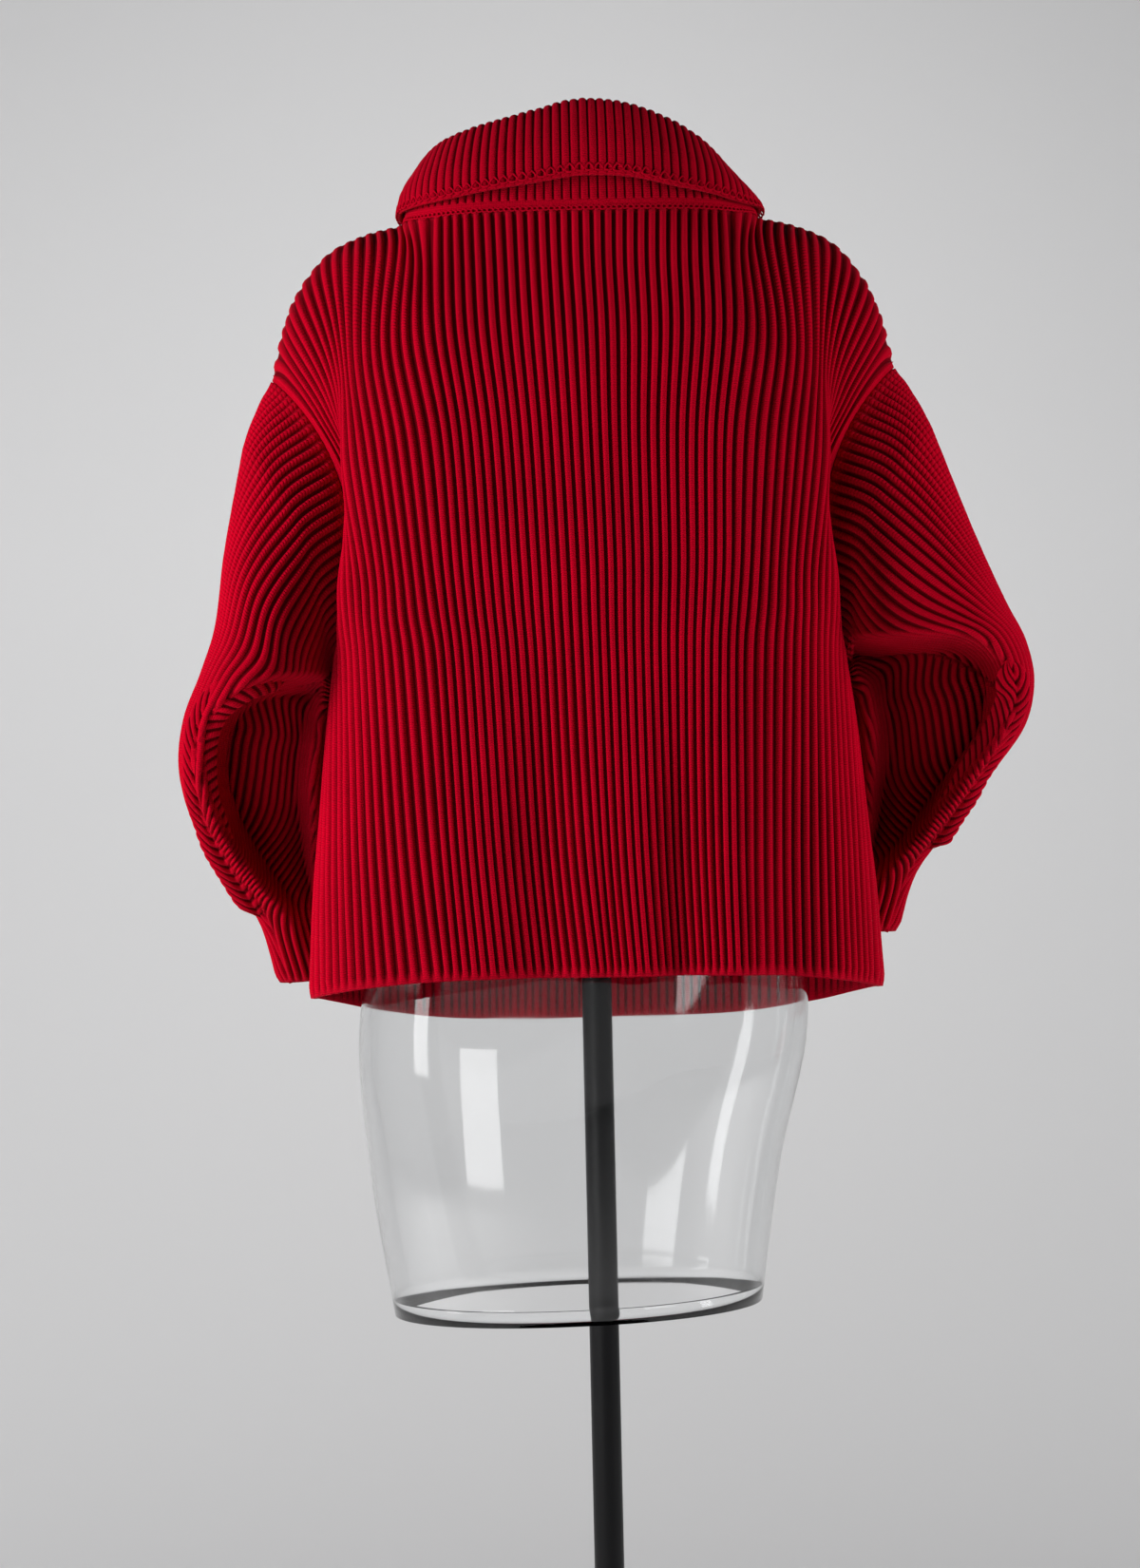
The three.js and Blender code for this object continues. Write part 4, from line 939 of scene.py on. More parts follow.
def ranged(tree, place, value, span, result=(0.0, 1.0), kind="LINEAR"):
    """Maps a value from one span onto another."""
    return node(tree, "ShaderNodeMapRange", place, interpolation_type=kind,
                inputs={"Value": value, "From Min": span[0], "From Max": span[1],
                        "To Min": result[0], "To Max": result[1]}).outputs[0]


def noise(tree, place, scale, detail, roughness=0.5):
    """Cloudy noise that stays with the object."""
    at = node(tree, "ShaderNodeTexCoord", (place[0] - 200, place[1]))
    return node(tree, "ShaderNodeTexNoise", place,
                inputs={"Vector": at.outputs["Object"], "Scale": scale, "Detail": detail,
                        "Roughness": roughness}).outputs["Fac"]


def new_material(name):
    """A material without nodes yet, and its tree."""
    material = bpy.data.materials.new(name)
    material.use_nodes = True
    material.node_tree.nodes.clear()
    return material, material.node_tree


def sockets(tree, inputs, outputs):
    """Declares a group's sockets: inputs as (name, type, default), outputs as (name, type)."""
    for name, kind, default in inputs:
        made = tree.interface.new_socket(name, in_out="INPUT", socket_type="NodeSocket" + kind)
        if default is not None:
            made.default_value = default
    for name, kind in outputs:
        tree.interface.new_socket(name, in_out="OUTPUT", socket_type="NodeSocket" + kind)


# ---- Wool ------------------------------------------------------------------------------------------
def rib_knit_group():
    """Painted shade and height of rib knit, from a Knit map of ribs across and stitches along. The shade
    darkens the valleys and the gaps between the stitches.
    """
    tree = bpy.data.node_groups.new("Rib Knit", "ShaderNodeTree")
    sockets(tree, [("Ribs", "Float", 1.0), ("Legs", "Float", 1.0), ("Fuzz", "Float", 0.35),
                   ("Valley", "Float", 0.25)],
            [("Depth", "Float"), ("Height", "Float"), ("Mottle", "Float")])
    group_in = node(tree, "NodeGroupInput", (-1400, 0))
    knit = node(tree, "ShaderNodeUVMap", (-1400, -200), uv_map="Knit")
    parts = node(tree, "ShaderNodeSeparateXYZ", (-1200, -200), inputs={0: knit.outputs["UV"]})
    across, along = parts.outputs[0], parts.outputs[1]
    share = node(tree, "ShaderNodeAttribute", (-1200, -400), attribute_name="Rib Share")

    # The rib: 0 down in a valley, 1 on its crest. The valleys get painted shade, which is left out where the
    # ribs are squeezed flat.
    rib = maths(tree, "PINGPONG", maths(tree, "MULTIPLY", across, group_in.outputs["Ribs"]), 0.5)
    valley = group_in.outputs["Valley"]
    crest = ranged(tree, (-800, 100), rib, (maths(tree, "MULTIPLY", valley, 0.48), valley), kind="SMOOTHSTEP")
    flat = maths(tree, "SUBTRACT", 1.0, share.outputs["Fac"])
    depth = maths(tree, "MAXIMUM", crest, flat)

    # Each stitch is a V of two legs that slant to the middle of their column.
    leg = maths(tree, "PINGPONG", maths(tree, "MULTIPLY", across, group_in.outputs["Legs"]), 0.5)
    slanted = maths(tree, "ADD", along, maths(tree, "MULTIPLY", leg, 1.1))
    stitch = ranged(tree, (-600, -200), maths(tree, "PINGPONG", slanted, 0.5), (0.0, 0.3), kind="SMOOTHSTEP")
    column = ranged(tree, (-600, -400), leg, (0.0, 0.16), kind="SMOOTHSTEP")
    loops = maths(tree, "MULTIPLY", stitch, column)

    # Loose fibres, and the yarn's slow drift in tone.
    fibres = noise(tree, (-1000, -600), 900.0, 4.0, 0.7)
    drift = noise(tree, (-1000, -800), 14.0, 3.0)
    height = maths(tree, "ADD", loops, maths(tree, "MULTIPLY", fibres, group_in.outputs["Fuzz"]))
    mottle = maths(tree, "ADD", maths(tree, "MULTIPLY", fibres, 0.6), maths(tree, "MULTIPLY", drift, 0.4))
    # The painted shade also darkens the gaps round the stitches' loops.
    seen = maths(tree, "MULTIPLY", depth, maths(tree, "ADD", maths(tree, "MULTIPLY", loops, 0.28), 0.72))
    node(tree, "NodeGroupOutput", (0, 0), inputs={"Depth": seen, "Height": height, "Mottle": mottle})
    return tree


# The width of a valley as a share of a rib, which the painted valley shade covers, the depth of the stitches'
# bump, and the tone against the yarn's.
Knit = namedtuple("Knit", "valley depth tone")
KNITS = {
    "Ribbed Wool": Knit(0.25, 0.0011, 1.0),
    # Its lower tone is painted shade, for the shade the collar lies in.
    "Close Ribbed Wool": Knit(0.16, 0.0011, 0.86),
    "Fine Wool": Knit(0.25, 0.0014, 0.95),
    "Chain Wool": Knit(0.25, 0.0004, 1.05),
}


def wool(name, settings):
    """One of the knits, made when it is first asked for."""
    if name in bpy.data.materials:
        return bpy.data.materials[name]
    look = KNITS[name]
    group = bpy.data.node_groups.get("Rib Knit") or rib_knit_group()
    material, tree = new_material(name)
    knit = node(tree, "ShaderNodeGroup", (-900, 0), node_tree=group,
                inputs={"Ribs": 1.0, "Legs": 1.0, "Fuzz": 0.35, "Valley": look.valley})
    # The colour runs from the yarn on the crests to painted shade down in the valleys and between the
    # stitches.
    valley_shade, crest = ((*[channel * look.tone for channel in yarn], 1)
                   for yarn in (settings.valley_shade_yarn, settings.yarn))
    colour = node(tree, "ShaderNodeMix", (-600, 200), data_type="RGBA",
                  inputs={0: knit.outputs["Depth"], 6: valley_shade, 7: crest})
    flecks = ranged(tree, (-600, -50), knit.outputs["Mottle"], (0.35, 0.65), (0.86, 1.12))
    speckled = node(tree, "ShaderNodeHueSaturation", (-350, 150),
                    inputs={"Value": flecks, "Color": colour.outputs[2]})
    bump = node(tree, "ShaderNodeBump", (-350, -150),
                inputs={"Height": knit.outputs["Height"], "Strength": 0.55, "Distance": look.depth})
    surface = node(tree, "ShaderNodeBsdfPrincipled", (-50, 100),
                   inputs={"Base Color": speckled.outputs[0], "Normal": bump.outputs[0], "Roughness": 0.92,
                           "Specular IOR Level": 0.06, "Sheen Weight": 0.14, "Sheen Roughness": 0.5,
                           "Sheen Tint": (1.0, 0.06, 0.12, 1.0)})
    node(tree, "ShaderNodeOutputMaterial", (250, 100), inputs={"Surface": surface.outputs[0]})
    return material


# ---- Stitches along a path -------------------------------------------------------------------------
def path_object(name, points, along, outward, closed):
    """A line of vertices that carries the ways along it and out of the cloth, for a stitch tree."""
    mesh = bpy.data.meshes.new(name)
    count = len(points)
    edges = [(i, (i + 1) % count) for i in range(count if closed else count - 1)]
    mesh.from_pydata((points * MM).tolist(), edges, [])
    for label, vectors in (("Along", along), ("Outward", outward)):
        attribute = mesh.attributes.new(label, "FLOAT_VECTOR", "POINT")
        attribute.data.foreach_set("vector", vectors.ravel().astype(np.float32))
    return in_scene(name, mesh)


def vector_attribute(tree, name, place):
    return node(tree, "GeometryNodeInputNamedAttribute", place, data_type="FLOAT_VECTOR",
                inputs={"Name": name}).outputs["Attribute"]


def placed_along(tree, group_in, stitch):
    """Puts a stitch at every step of the path, turned to it, and gives the finished geometry."""
    line = node(tree, "GeometryNodeMeshToCurve", (-900, 300), inputs={0: group_in.outputs["Geometry"]})
    steps = node(tree, "GeometryNodeResampleCurve", (-700, 300), mode="LENGTH",
                 inputs={"Curve": line.outputs[0], "Length": group_in.outputs["Spacing"]})
    standing = node(tree, "FunctionNodeAlignRotationToVector", (-700, 0), axis="Z",
                    inputs={"Vector": vector_attribute(tree, "Outward", (-900, 0))})
    facing = node(tree, "FunctionNodeAlignRotationToVector", (-500, 0), axis="Y", pivot_axis="Z",
                  inputs={"Rotation": standing.outputs[0],
                          "Vector": vector_attribute(tree, "Along", (-900, -200))})
    size = node(tree, "FunctionNodeRandomValue", (-500, -200), data_type="FLOAT",
                inputs={2: 0.9, 3: 1.1, "Seed": group_in.outputs["Seed"]})
    placed = node(tree, "GeometryNodeInstanceOnPoints", (-300, 300),
                  inputs={"Points": steps.outputs[0], "Instance": stitch, "Rotation": facing.outputs[0],
                          "Scale": size.outputs[1]})
    real = node(tree, "GeometryNodeRealizeInstances", (-100, 300), inputs={0: placed.outputs[0]})
    soft = node(tree, "GeometryNodeSetShadeSmooth", (100, 300), inputs={0: real.outputs[0]})
    coloured = node(tree, "GeometryNodeSetMaterial", (300, 300),
                    inputs={0: soft.outputs[0], "Material": group_in.outputs["Material"]})
    node(tree, "NodeGroupOutput", (500, 300), inputs={"Geometry": coloured.outputs[0]})


CHAIN_INPUTS = [("Geometry", "Geometry", None), ("Spacing", "Float", 0.006), ("Length", "Float", 0.006),
                ("Width", "Float", 0.005), ("Height", "Float", 0.002), ("Seed", "Int", 7),
                ("Material", "Material", None), ("Taper", "Float", 0.4)]


def chain_tree():
    """Loops of yarn in a row, each a bent tube that narrows to one end."""
    tree = bpy.data.node_groups.new("Chain Edge", "GeometryNodeTree")
    sockets(tree, CHAIN_INPUTS, [("Geometry", "Geometry")])
    group_in = node(tree, "NodeGroupInput", (-1600, 0))
    ring = node(tree, "GeometryNodeCurvePrimitiveCircle", (-1400, -300),
                inputs={"Resolution": 12, "Radius": 0.5})
    where = node(tree, "GeometryNodeInputPosition", (-1400, -500))
    parts = node(tree, "ShaderNodeSeparateXYZ", (-1250, -500), inputs={0: where.outputs[0]})
    taper = maths(tree, "MULTIPLY", maths(tree, "MULTIPLY", parts.outputs[1], 2.0), group_in.outputs["Taper"])
    narrowed = maths(tree, "MULTIPLY", parts.outputs[0], maths(tree, "SUBTRACT", 1.0, taper))
    across = maths(tree, "MULTIPLY", narrowed, group_in.outputs["Width"])
    along = maths(tree, "MULTIPLY", parts.outputs[1], group_in.outputs["Length"])
    shaped = node(tree, "ShaderNodeCombineXYZ", (-1000, -500), inputs={0: across, 1: along})
    loop = node(tree, "GeometryNodeSetPosition", (-1000, -300),
                inputs={"Geometry": ring.outputs[0], "Position": shaped.outputs[0]})
    yarn = node(tree, "GeometryNodeCurvePrimitiveCircle", (-1000, -700),
                inputs={"Resolution": 5, "Radius": maths(tree, "MULTIPLY", group_in.outputs["Height"], 0.5)})
    tube = node(tree, "GeometryNodeCurveToMesh", (-800, -300),
                inputs={"Curve": loop.outputs[0], "Profile Curve": yarn.outputs[0]})
    placed_along(tree, group_in, tube.outputs[0])
    return tree


def made_by(tree, path, name, values):
    """Runs a stitch tree over a path and gives the result as a plain mesh object."""
    modifier = path.modifiers.new("Stitches", "NODES")
    modifier.node_group = tree
    identifiers = {item.name: item.identifier for item in tree.interface.items_tree
                   if item.item_type == "SOCKET" and item.in_out == "INPUT"}
    for key, value in values.items():
        modifier[identifiers[key]] = value
    evaluated = path.evaluated_get(bpy.context.evaluated_depsgraph_get())
    mesh = bpy.data.meshes.new_from_object(evaluated)
    mesh.name = name
    bpy.data.objects.remove(path)
    if not mesh.polygons:
        raise RuntimeError(f"{name}: the stitch tree made nothing")
    return in_scene(name, mesh)


def neck_chain(settings, material, tree):
    turns = turns_along_neck(np.arange(CHAIN_SAMPLES) / CHAIN_SAMPLES)
    points = neck_point(turns, np.full(turns.shape, 1.4), NECKBAND_FOOT + 0.1)
    outward = unit(neck_outward(turns) + np.array([0, 0, 0.25]))
    along = unit(np.roll(points, -1, axis=0) - np.roll(points, 1, axis=0))
    path = path_object("neck_chain_path", points, along, outward, True)
    pitch = settings.chain_pitch
    return made_by(tree, path, "neck_chain", {
        "Spacing": pitch, "Length": pitch * 1.15, "Width": pitch * 0.72, "Height": 0.0015, "Taper": 0.25,
        "Material": material})


def collar_chain(material, tree):
    middle, facings, _ = collar_cloth()
    so_far = travelled(middle)
    row = int(np.argmin(np.abs((so_far[-1] - so_far).mean(axis=1) - 3.0)))
    outward = facings[row]
    points = middle[row] + outward * (WALL / 2 + 1.1)
    up = unit(middle[row - 1] - middle[row + 1])
    path = path_object("collar_chain_path", points, up, outward, True)
    length = travelled(np.concatenate([points, points[:1]]))[-1] * MM
    return made_by(tree, path, "collar_chain", {
        "Spacing": length / COLLAR_RIBS, "Length": 0.0062, "Width": 0.0062, "Height": 0.0016, "Taper": 0.75,
        "Material": material})


# ---- Dress form and stand --------------------------------------------------------------------------
# Levels of the form, from its open rim to its neck cap: the height, half the width, the reach to the back
# and to the front, how round the section is (2 is an ellipse), and how far it leans to the wearer's left.
Level = namedtuple("Level", "z half back front round lean")
FORM_LEVELS = [
    Level(501, 155, 114, 114, 2.1, 21), Level(620, 173, 121, 116, 2.1, 21),
    Level(735, 189, 121, 115, 2.1, 12), Level(845, 175, 102, 106, 2.1, 5),
    Level(960, 147, 86, 96, 2.1, 0), Level(1080, 160, 98, 118, 2.1, 0),
    Level(1180, 172, 112, 126, 2.0, 0), Level(1260, 205, 114, 114, 1.75, 0),
    Level(1320, 222, 102, 92, 1.6, 0), Level(1355, 205, 84, 72, 1.5, 0),
    Level(1382, 140, 66, 56, 1.6, 0), Level(1402, 74, 54, 46, 2.0, 0),
    Level(1440, 56, 50, 42, 2.0, 0),
]
FORM_WALL = 1.5
RIM_TAPER = 2.0           # the height over which the wall thins to its rim
FORM_CAP_Z = 1452.0       # the top of the closed neck cap
RIM_SLOPE = 0.023         # the rim is lower at the wearer's left
POLE_RADIUS = 12.5
BASE_RADIUS = 175.0
BASE_THICKNESS = 9.0
SOCKET_RADIUS = 21.0
SOCKET_HEIGHT = 46.0
HOLDER_RADIUS = 30.0
HOLDER_HEIGHT = 14.0
HOLDER_TOP = 1440.6       # just under the neck cap


def form_skin(inset, turns):
    """Closed level lines of the form, from its rim up and over the neck cap, moved in by the inset."""
    table = np.array(FORM_LEVELS, float)
    levels = Level(*spline(table, [8] * (len(table) - 1)).T)
    cos, sin = np.cos(turns)[None, :], np.sin(turns)[None, :]
    power = levels.round[:, None]
    reach = (np.abs(cos) ** power + np.abs(sin) ** power) ** (-1 / power)
    inset_here = inset * (1 - 0.75 * smooth(levels.z[0] + RIM_TAPER - levels.z, 0, RIM_TAPER))[:, None]
    half = levels.half[:, None] - inset_here
    depth = np.where(sin < 0, levels.back[:, None], levels.front[:, None]) - inset_here
    x, y = half * cos * reach, depth * sin * reach
    tilt = RIM_SLOPE * smooth(levels.z, 735, 501)[:, None]
    z = levels.z[:, None] + tilt * x
    walls = np.stack([x - levels.lean[:, None], y, z], axis=-1)
    rim = walls[-1]
    cap = []
    for angle in np.radians([25, 45, 62, 76, 90]):
        share = math.cos(angle)
        lifted = rim[:, 2] + (FORM_CAP_Z - inset - rim[:, 2]) * math.sin(angle)
        cap.append(np.stack([rim[:, 0] * share, rim[:, 1] * share, lifted], axis=-1))
    return np.concatenate([walls, np.array(cap)])


def mould_form(settings, material):
    turns = np.linspace(0, 2 * math.pi, settings.segments + 1)[:-1]
    form = Shell()
    skins = []
    for inset in (0.0, FORM_WALL):
        points = form_skin(inset, turns)
        ids = form.grid(points, closed=True)
        ids[-1] = ids[-1, 0]
        form.fill(ids, inset == 0)
        skins.append(ids)
    form.fill(np.stack([skins[0][0], skins[1][0]]))
    piece = form.piece("clear_form", material)
    for rim_face in piece.data.polygons[-2 * settings.segments:]:
        rim_face.use_smooth = False
    return piece


def arc(centre, radius, start, end, steps=5):
    """Points (radius, height) on a quarter round of a turned outline, from one angle to another."""
    angles = np.radians(np.linspace(start, end, steps))
    return [(centre[0] + radius * math.cos(a), centre[1] + radius * math.sin(a)) for a in angles]


def turned(name, outline, material, segments=96):
    """A turned piece: a closed outline of (radius, height), from the axis back to the axis."""
    turns = np.linspace(0, 2 * math.pi, segments + 1)[:-1]
    outline = np.array(outline)
    radius, height = outline[:, :1], outline[:, 1:]
    points = np.stack([radius * np.cos(turns), radius * np.sin(turns), height + 0 * turns], axis=-1)
    body = Shell()
    ids = body.grid(points, closed=True)
    for end in (0, -1):
        if outline[end, 0] == 0:
            ids[end] = ids[end, 0]
    body.fill(ids, True)
    piece = body.piece(name, material)
    piece.data.set_sharp_from_angle(angle=math.radians(35))
    return piece


def turn_stand(material):
    """The base plate with its socket, the pole and the disc that carries the form."""
    bore = POLE_RADIUS + SEAM_GAP
    base = turned("stand_base", [(0, 0), (BASE_RADIUS - 1, 0)]
                  + arc((BASE_RADIUS - 2, 2), 2, -60, 0)
                  + arc((BASE_RADIUS - 5, BASE_THICKNESS - 5), 5, 0, 90, 8)
                  + [(SOCKET_RADIUS + 3, BASE_THICKNESS)]
                  + arc((SOCKET_RADIUS + 3, BASE_THICKNESS + 3), 3, 270, 180)
                  + arc((SOCKET_RADIUS - 2, SOCKET_HEIGHT - 2), 2, 0, 90)
                  + [(bore, SOCKET_HEIGHT), (bore, BASE_THICKNESS), (0, BASE_THICKNESS)], material)
    foot, top = BASE_THICKNESS + SEAM_GAP, HOLDER_TOP - HOLDER_HEIGHT - SEAM_GAP
    pole = turned("stand_pole", [(0, foot)] + arc((POLE_RADIUS - 1, foot + 1), 1, -90, 0)
                  + arc((POLE_RADIUS - 1, top - 1), 1, 0, 90) + [(0, top)], material, 64)
    holder = turned("stand_holder", [(0, HOLDER_TOP - HOLDER_HEIGHT)]
                    + arc((HOLDER_RADIUS - 4, HOLDER_TOP - HOLDER_HEIGHT + 4), 4, -90, 0)
                    + arc((HOLDER_RADIUS - 1, HOLDER_TOP - 1), 1, 0, 90) + [(0, HOLDER_TOP)], material, 64)
    return base, pole, holder


def clear_plastic(settings):
    """Clear acrylic, which lets light through to what stands behind it."""
    material, tree = new_material("Clear Plastic")
    rough = ranged(tree, (-600, 0), noise(tree, (-800, 0), 9.0, 3.0), (0.45, 0.8), (0.03, 0.09))
    bump = node(tree, "ShaderNodeBump", (-400, -250),
                inputs={"Height": noise(tree, (-800, -250), 7.0, 1.0), "Strength": 0.25, "Distance": 0.004})
    surface = node(tree, "ShaderNodeBsdfPrincipled", (-150, 100),
                   inputs={"Roughness": rough, "Normal": bump.outputs[0], "IOR": 1.49,
                           "Transmission Weight": 1.0, "Base Color": (*settings.plastic, 1)})
    through = node(tree, "ShaderNodeBsdfTransparent", (-150, -250), inputs={"Color": (0.97, 0.97, 0.97, 1)})
    ray = node(tree, "ShaderNodeLightPath", (-150, 400))
    mixed = node(tree, "ShaderNodeMixShader", (150, 100),
                 inputs={0: ray.outputs["Is Shadow Ray"], 1: surface.outputs[0], 2: through.outputs[0]})
    node(tree, "ShaderNodeOutputMaterial", (400, 100), inputs={"Surface": mixed.outputs[0]})
    return material


def painted_steel(settings):
    """Satin black paint with a fine grain and faint wear."""
    material, tree = new_material("Painted Steel")
    rough = ranged(tree, (-450, 250), noise(tree, (-700, 250), 11.0, 6.0), (0.3, 0.7), (0.32, 0.48))
    bump = node(tree, "ShaderNodeBump", (-450, -50),
                inputs={"Height": noise(tree, (-700, 0), 420.0, 3.0), "Strength": 0.15, "Distance": 0.0004})
    surface = node(tree, "ShaderNodeBsdfPrincipled", (-150, 100),
                   inputs={"Base Color": (*settings.paint, 1), "Roughness": rough,
                           "Normal": bump.outputs[0], "Specular IOR Level": 0.25})
    node(tree, "ShaderNodeOutputMaterial", (150, 100), inputs={"Surface": surface.outputs[0]})
    return material


# ---- Stage -----------------------------------------------------------------------------------------
def backdrop(settings):
    """A pale floor that sweeps up into a wall, which is seen from its front alone."""
    width, front, back, radius, top = 7.0, -5.0, 0.9, 1.3, 5.5
    profile = [(front, 0.0), (back, 0.0)]
    profile += [(back + radius * math.sin(a), radius * (1 - math.cos(a)))
                for a in np.radians(np.arange(5, 90, 5))]
    profile += [(back + radius, radius), (back + radius, top)]
    points = [(x, y, z) for y, z in profile for x in (-width / 2, width / 2)]
    faces = [(2 * i, 2 * i + 1, 2 * i + 3, 2 * i + 2) for i in range(len(profile) - 1)]
    mesh = bpy.data.meshes.new("backdrop")
    mesh.from_pydata(points, [], faces)
    mesh.polygons.foreach_set("use_smooth", [True] * len(faces))
    material = bpy.data.materials.new("Backdrop")
    material.use_nodes = True
    tree = material.node_tree
    surface = tree.nodes["Principled BSDF"]
    surface.inputs["Base Color"].default_value = (*settings.backdrop, 1)
    surface.inputs["Roughness"].default_value = 0.9
    surface.inputs["Specular IOR Level"].default_value = 0.1
    facing = node(tree, "ShaderNodeNewGeometry", (-200, 300))
    open_back = node(tree, "ShaderNodeBsdfTransparent", (-200, -400))
    mixed = node(tree, "ShaderNodeMixShader", (350, 0),
                 inputs={0: facing.outputs["Backfacing"], 1: surface.outputs[0], 2: open_back.outputs[0]})
    tree.links.new(mixed.outputs[0], tree.nodes["Material Output"].inputs["Surface"])
    linked("backdrop", mesh, material)


def softbox(name, place, target, size, power):
    light = bpy.data.lights.new(name, "AREA")
    light.shape = "RECTANGLE"
    light.size, light.size_y = size
    light.energy = power
    lamp = in_scene(name, light)
    lamp.location = place
    aim(lamp, target)
    return lamp


def aim(thing, target, roll=0.0):
    direction = Vector(target) - thing.location
    facing = direction.to_track_quat("-Z", "Y").to_matrix()
    thing.rotation_euler = (facing @ Matrix.Rotation(roll, 3, "Z")).to_euler()


def studio(settings):
    world = bpy.data.worlds.new("Studio")
    bpy.context.scene.world = world
    world.use_nodes = True
    sky = world.node_tree.nodes["Background"]
    sky.inputs["Color"].default_value = (0.8, 0.8, 0.81, 1)
    ray = node(world.node_tree, "ShaderNodeLightPath", (-800, 0))
    seen = maths(world.node_tree, "MAXIMUM", ray.outputs["Is Transmission Ray"], ray.outputs["Is Camera Ray"])
    strength = ranged(world.node_tree, (-300, 0), seen, (0.0, 1.0), (0.02, 0.5))
    world.node_tree.links.new(strength, sky.inputs["Strength"])
    key = softbox("Key", (-2.55, -1.0, 1.4), (0, 0, 1.05), (1.0, 1.6), settings.key_power)
    fill = softbox("Fill", (2.6, -0.85, 1.2), (0, 0, 1.0), (0.8, 1.4), settings.fill_power)
    for lamp in (key, fill):
        lamp.visible_glossy = lamp.visible_transmission = False
    softbox("Glint", (-2.5, -1.1, 1.3), (0, 0, 1.0), (0.45, 1.5), 8.0)
    softbox("Low", (-1.6, -2.2, 0.5), (0, 0, 1.0), (0.8, 0.8), 7.0)
    wash = softbox("Wall Wash", (0.0, 0.4, 3.0), (0, 2.2, 0.8), (0.8, 0.5), 2.2)
    wash.data.spread = math.radians(75)


LENS = 75.7               # for a frame 36 mm high
CAMERA_SIDE = -0.0187     # how far the camera stands to the side of the pole
CAMERA_ROLL = -1.27       # degrees


def camera(settings):
    view = bpy.data.cameras.new("Camera")
    view.sensor_fit = "VERTICAL"
    view.sensor_height = 36.0
    view.lens = LENS
    view.clip_end = 50.0
    eye = in_scene("Camera", view)
    eye.location = (CAMERA_SIDE, -settings.camera_distance, settings.camera_height)
    aim(eye, (CAMERA_SIDE, 0, settings.camera_height), roll=math.radians(CAMERA_ROLL))
    bpy.context.scene.camera = eye


# ---- Operators -------------------------------------------------------------------------------------
def finished(piece, nodes):
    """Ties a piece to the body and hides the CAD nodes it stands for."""
    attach(piece, "root")
    if nodes:
        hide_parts(*nodes)
    return piece


class SWEATER_OT_panels(bpy.types.Operator):
    """Knits the back and the front"""

    bl_idname = "sweater.panels"
    bl_label = "Knit Back and Front"

    def execute(self, context):
        settings = context.scene.sweater
        material = wool("Ribbed Wool", settings)
        back = knit_panel("back", -1, BACK_SECTIONS, settings, material, 11)
        front = knit_panel("front", 1, FRONT_SECTIONS, settings, material, 12)
        finished(back, ["back"])
        finished(front, ["front"])
        return {"FINISHED"}


class SWEATER_OT_sleeves(bpy.types.Operator):
    """Knits both sleeves and the rolled seams of their hollows"""

    bl_idname = "sweater.sleeves"
    bl_label = "Knit Sleeves"

    def execute(self, context):
        settings = context.scene.sweater
        material = wool("Ribbed Wool", settings)
        for name, shape in (("sleeve_left", LEFT_SLEEVE), ("sleeve_right", RIGHT_SLEEVE)):
            sleeve = finished(knit_sleeve(name, shape, settings, material), [name])
        for name, side, roll in (("left", -1, LEFT_ROLL), ("right", 1, RIGHT_ROLL)):
            finished(roll_seam("seam_" + name, side, roll, settings, material), [])
        return {"FINISHED"}


class SWEATER_OT_collar(bpy.types.Operator):
    """Knits the neckband and the folded collar, with their chain edges"""

    bl_idname = "sweater.collar"
    bl_label = "Knit Collar"

    def execute(self, context):
        settings = context.scene.sweater
        chain = bpy.data.node_groups.get("Chain Edge") or chain_tree()
        collar = finished(knit_collar(settings, wool("Close Ribbed Wool", settings)), ["collar"])
        band = finished(knit_neckband(wool("Fine Wool", settings)), ["neckband"])
        yarn = wool("Chain Wool", settings)
        edge = finished(collar_chain(yarn, chain), [])
        seam = finished(neck_chain(settings, yarn, chain), [])
        return {"FINISHED"}


class SWEATER_OT_form(bpy.types.Operator):
    """Moulds the clear dress form"""

    bl_idname = "sweater.form"
    bl_label = "Mould Dress Form"

    def execute(self, context):
        settings = context.scene.sweater_stand
        finished(mould_form(settings, clear_plastic(settings)), ["dress_form"])
        return {"FINISHED"}


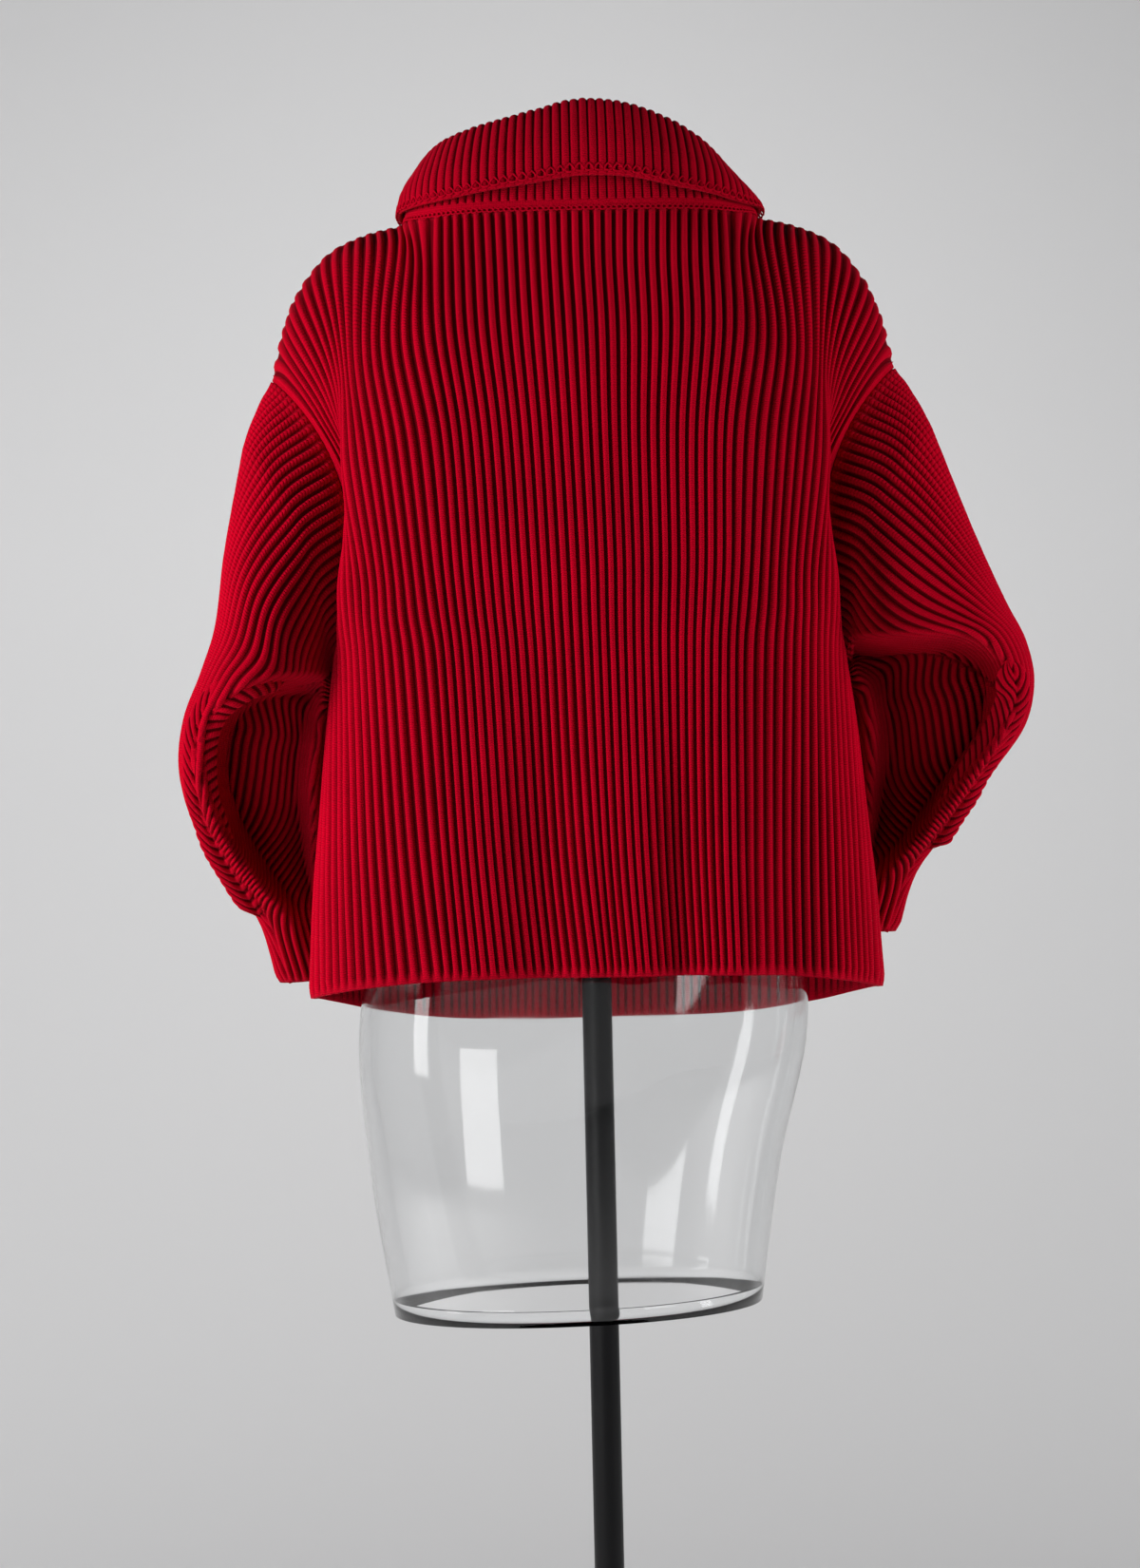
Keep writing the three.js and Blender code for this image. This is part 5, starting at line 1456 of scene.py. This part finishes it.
class SWEATER_OT_stand(bpy.types.Operator):
    """Turns the base, the pole and the form's holder"""

    bl_idname = "sweater.stand"
    bl_label = "Turn Stand"

    def execute(self, context):
        pieces = turn_stand(painted_steel(context.scene.sweater_stand))
        for piece, replaced in zip(pieces, ("base", "pole", "form_holder")):
            finished(piece, [replaced])
        return {"FINISHED"}


class SWEATER_OT_stage(bpy.types.Operator):
    """Sets up the backdrop, the lights and the camera"""

    bl_idname = "sweater.stage"
    bl_label = "Set Up Stage"

    def execute(self, context):
        settings = context.scene.sweater_stage
        context.scene.view_settings.view_transform = "Standard"
        backdrop(settings)
        studio(settings)
        camera(settings)
        return {"FINISHED"}


class SWEATER_PT_panel(bpy.types.Panel):
    bl_idname = "SWEATER_PT_panel"
    bl_label = "Ribbed Sweater"
    bl_space_type = "VIEW_3D"
    bl_region_type = "UI"
    bl_category = "Sweater"

    def draw(self, context):
        groups = ((context.scene.sweater, SweaterSettings), (context.scene.sweater_stand, StandSettings),
                  (context.scene.sweater_stage, StageSettings))
        for values, kind in groups:
            box = self.layout.box()
            for key in kind.__annotations__:
                box.prop(values, key)
        for operator in OPERATORS:
            self.layout.operator(operator.bl_idname)


OPERATORS = (SWEATER_OT_stage, SWEATER_OT_panels, SWEATER_OT_sleeves, SWEATER_OT_collar, SWEATER_OT_form,
             SWEATER_OT_stand)
CLASSES = (SweaterSettings, StandSettings, StageSettings) + OPERATORS + (SWEATER_PT_panel,)


def register():
    for kind in CLASSES:
        bpy.utils.register_class(kind)
    bpy.types.Scene.sweater = bpy.props.PointerProperty(type=SweaterSettings)
    bpy.types.Scene.sweater_stand = bpy.props.PointerProperty(type=StandSettings)
    bpy.types.Scene.sweater_stage = bpy.props.PointerProperty(type=StageSettings)


def unregister():
    del bpy.types.Scene.sweater_stage
    del bpy.types.Scene.sweater_stand
    del bpy.types.Scene.sweater
    for kind in reversed(CLASSES):
        bpy.utils.unregister_class(kind)


def main():
    register()
    bpy.ops.sweater.stage()
    bpy.ops.sweater.panels()
    bpy.ops.sweater.sleeves()
    bpy.ops.sweater.collar()
    bpy.ops.sweater.form()
    bpy.ops.sweater.stand()


if __name__ == "__main__":
    main()
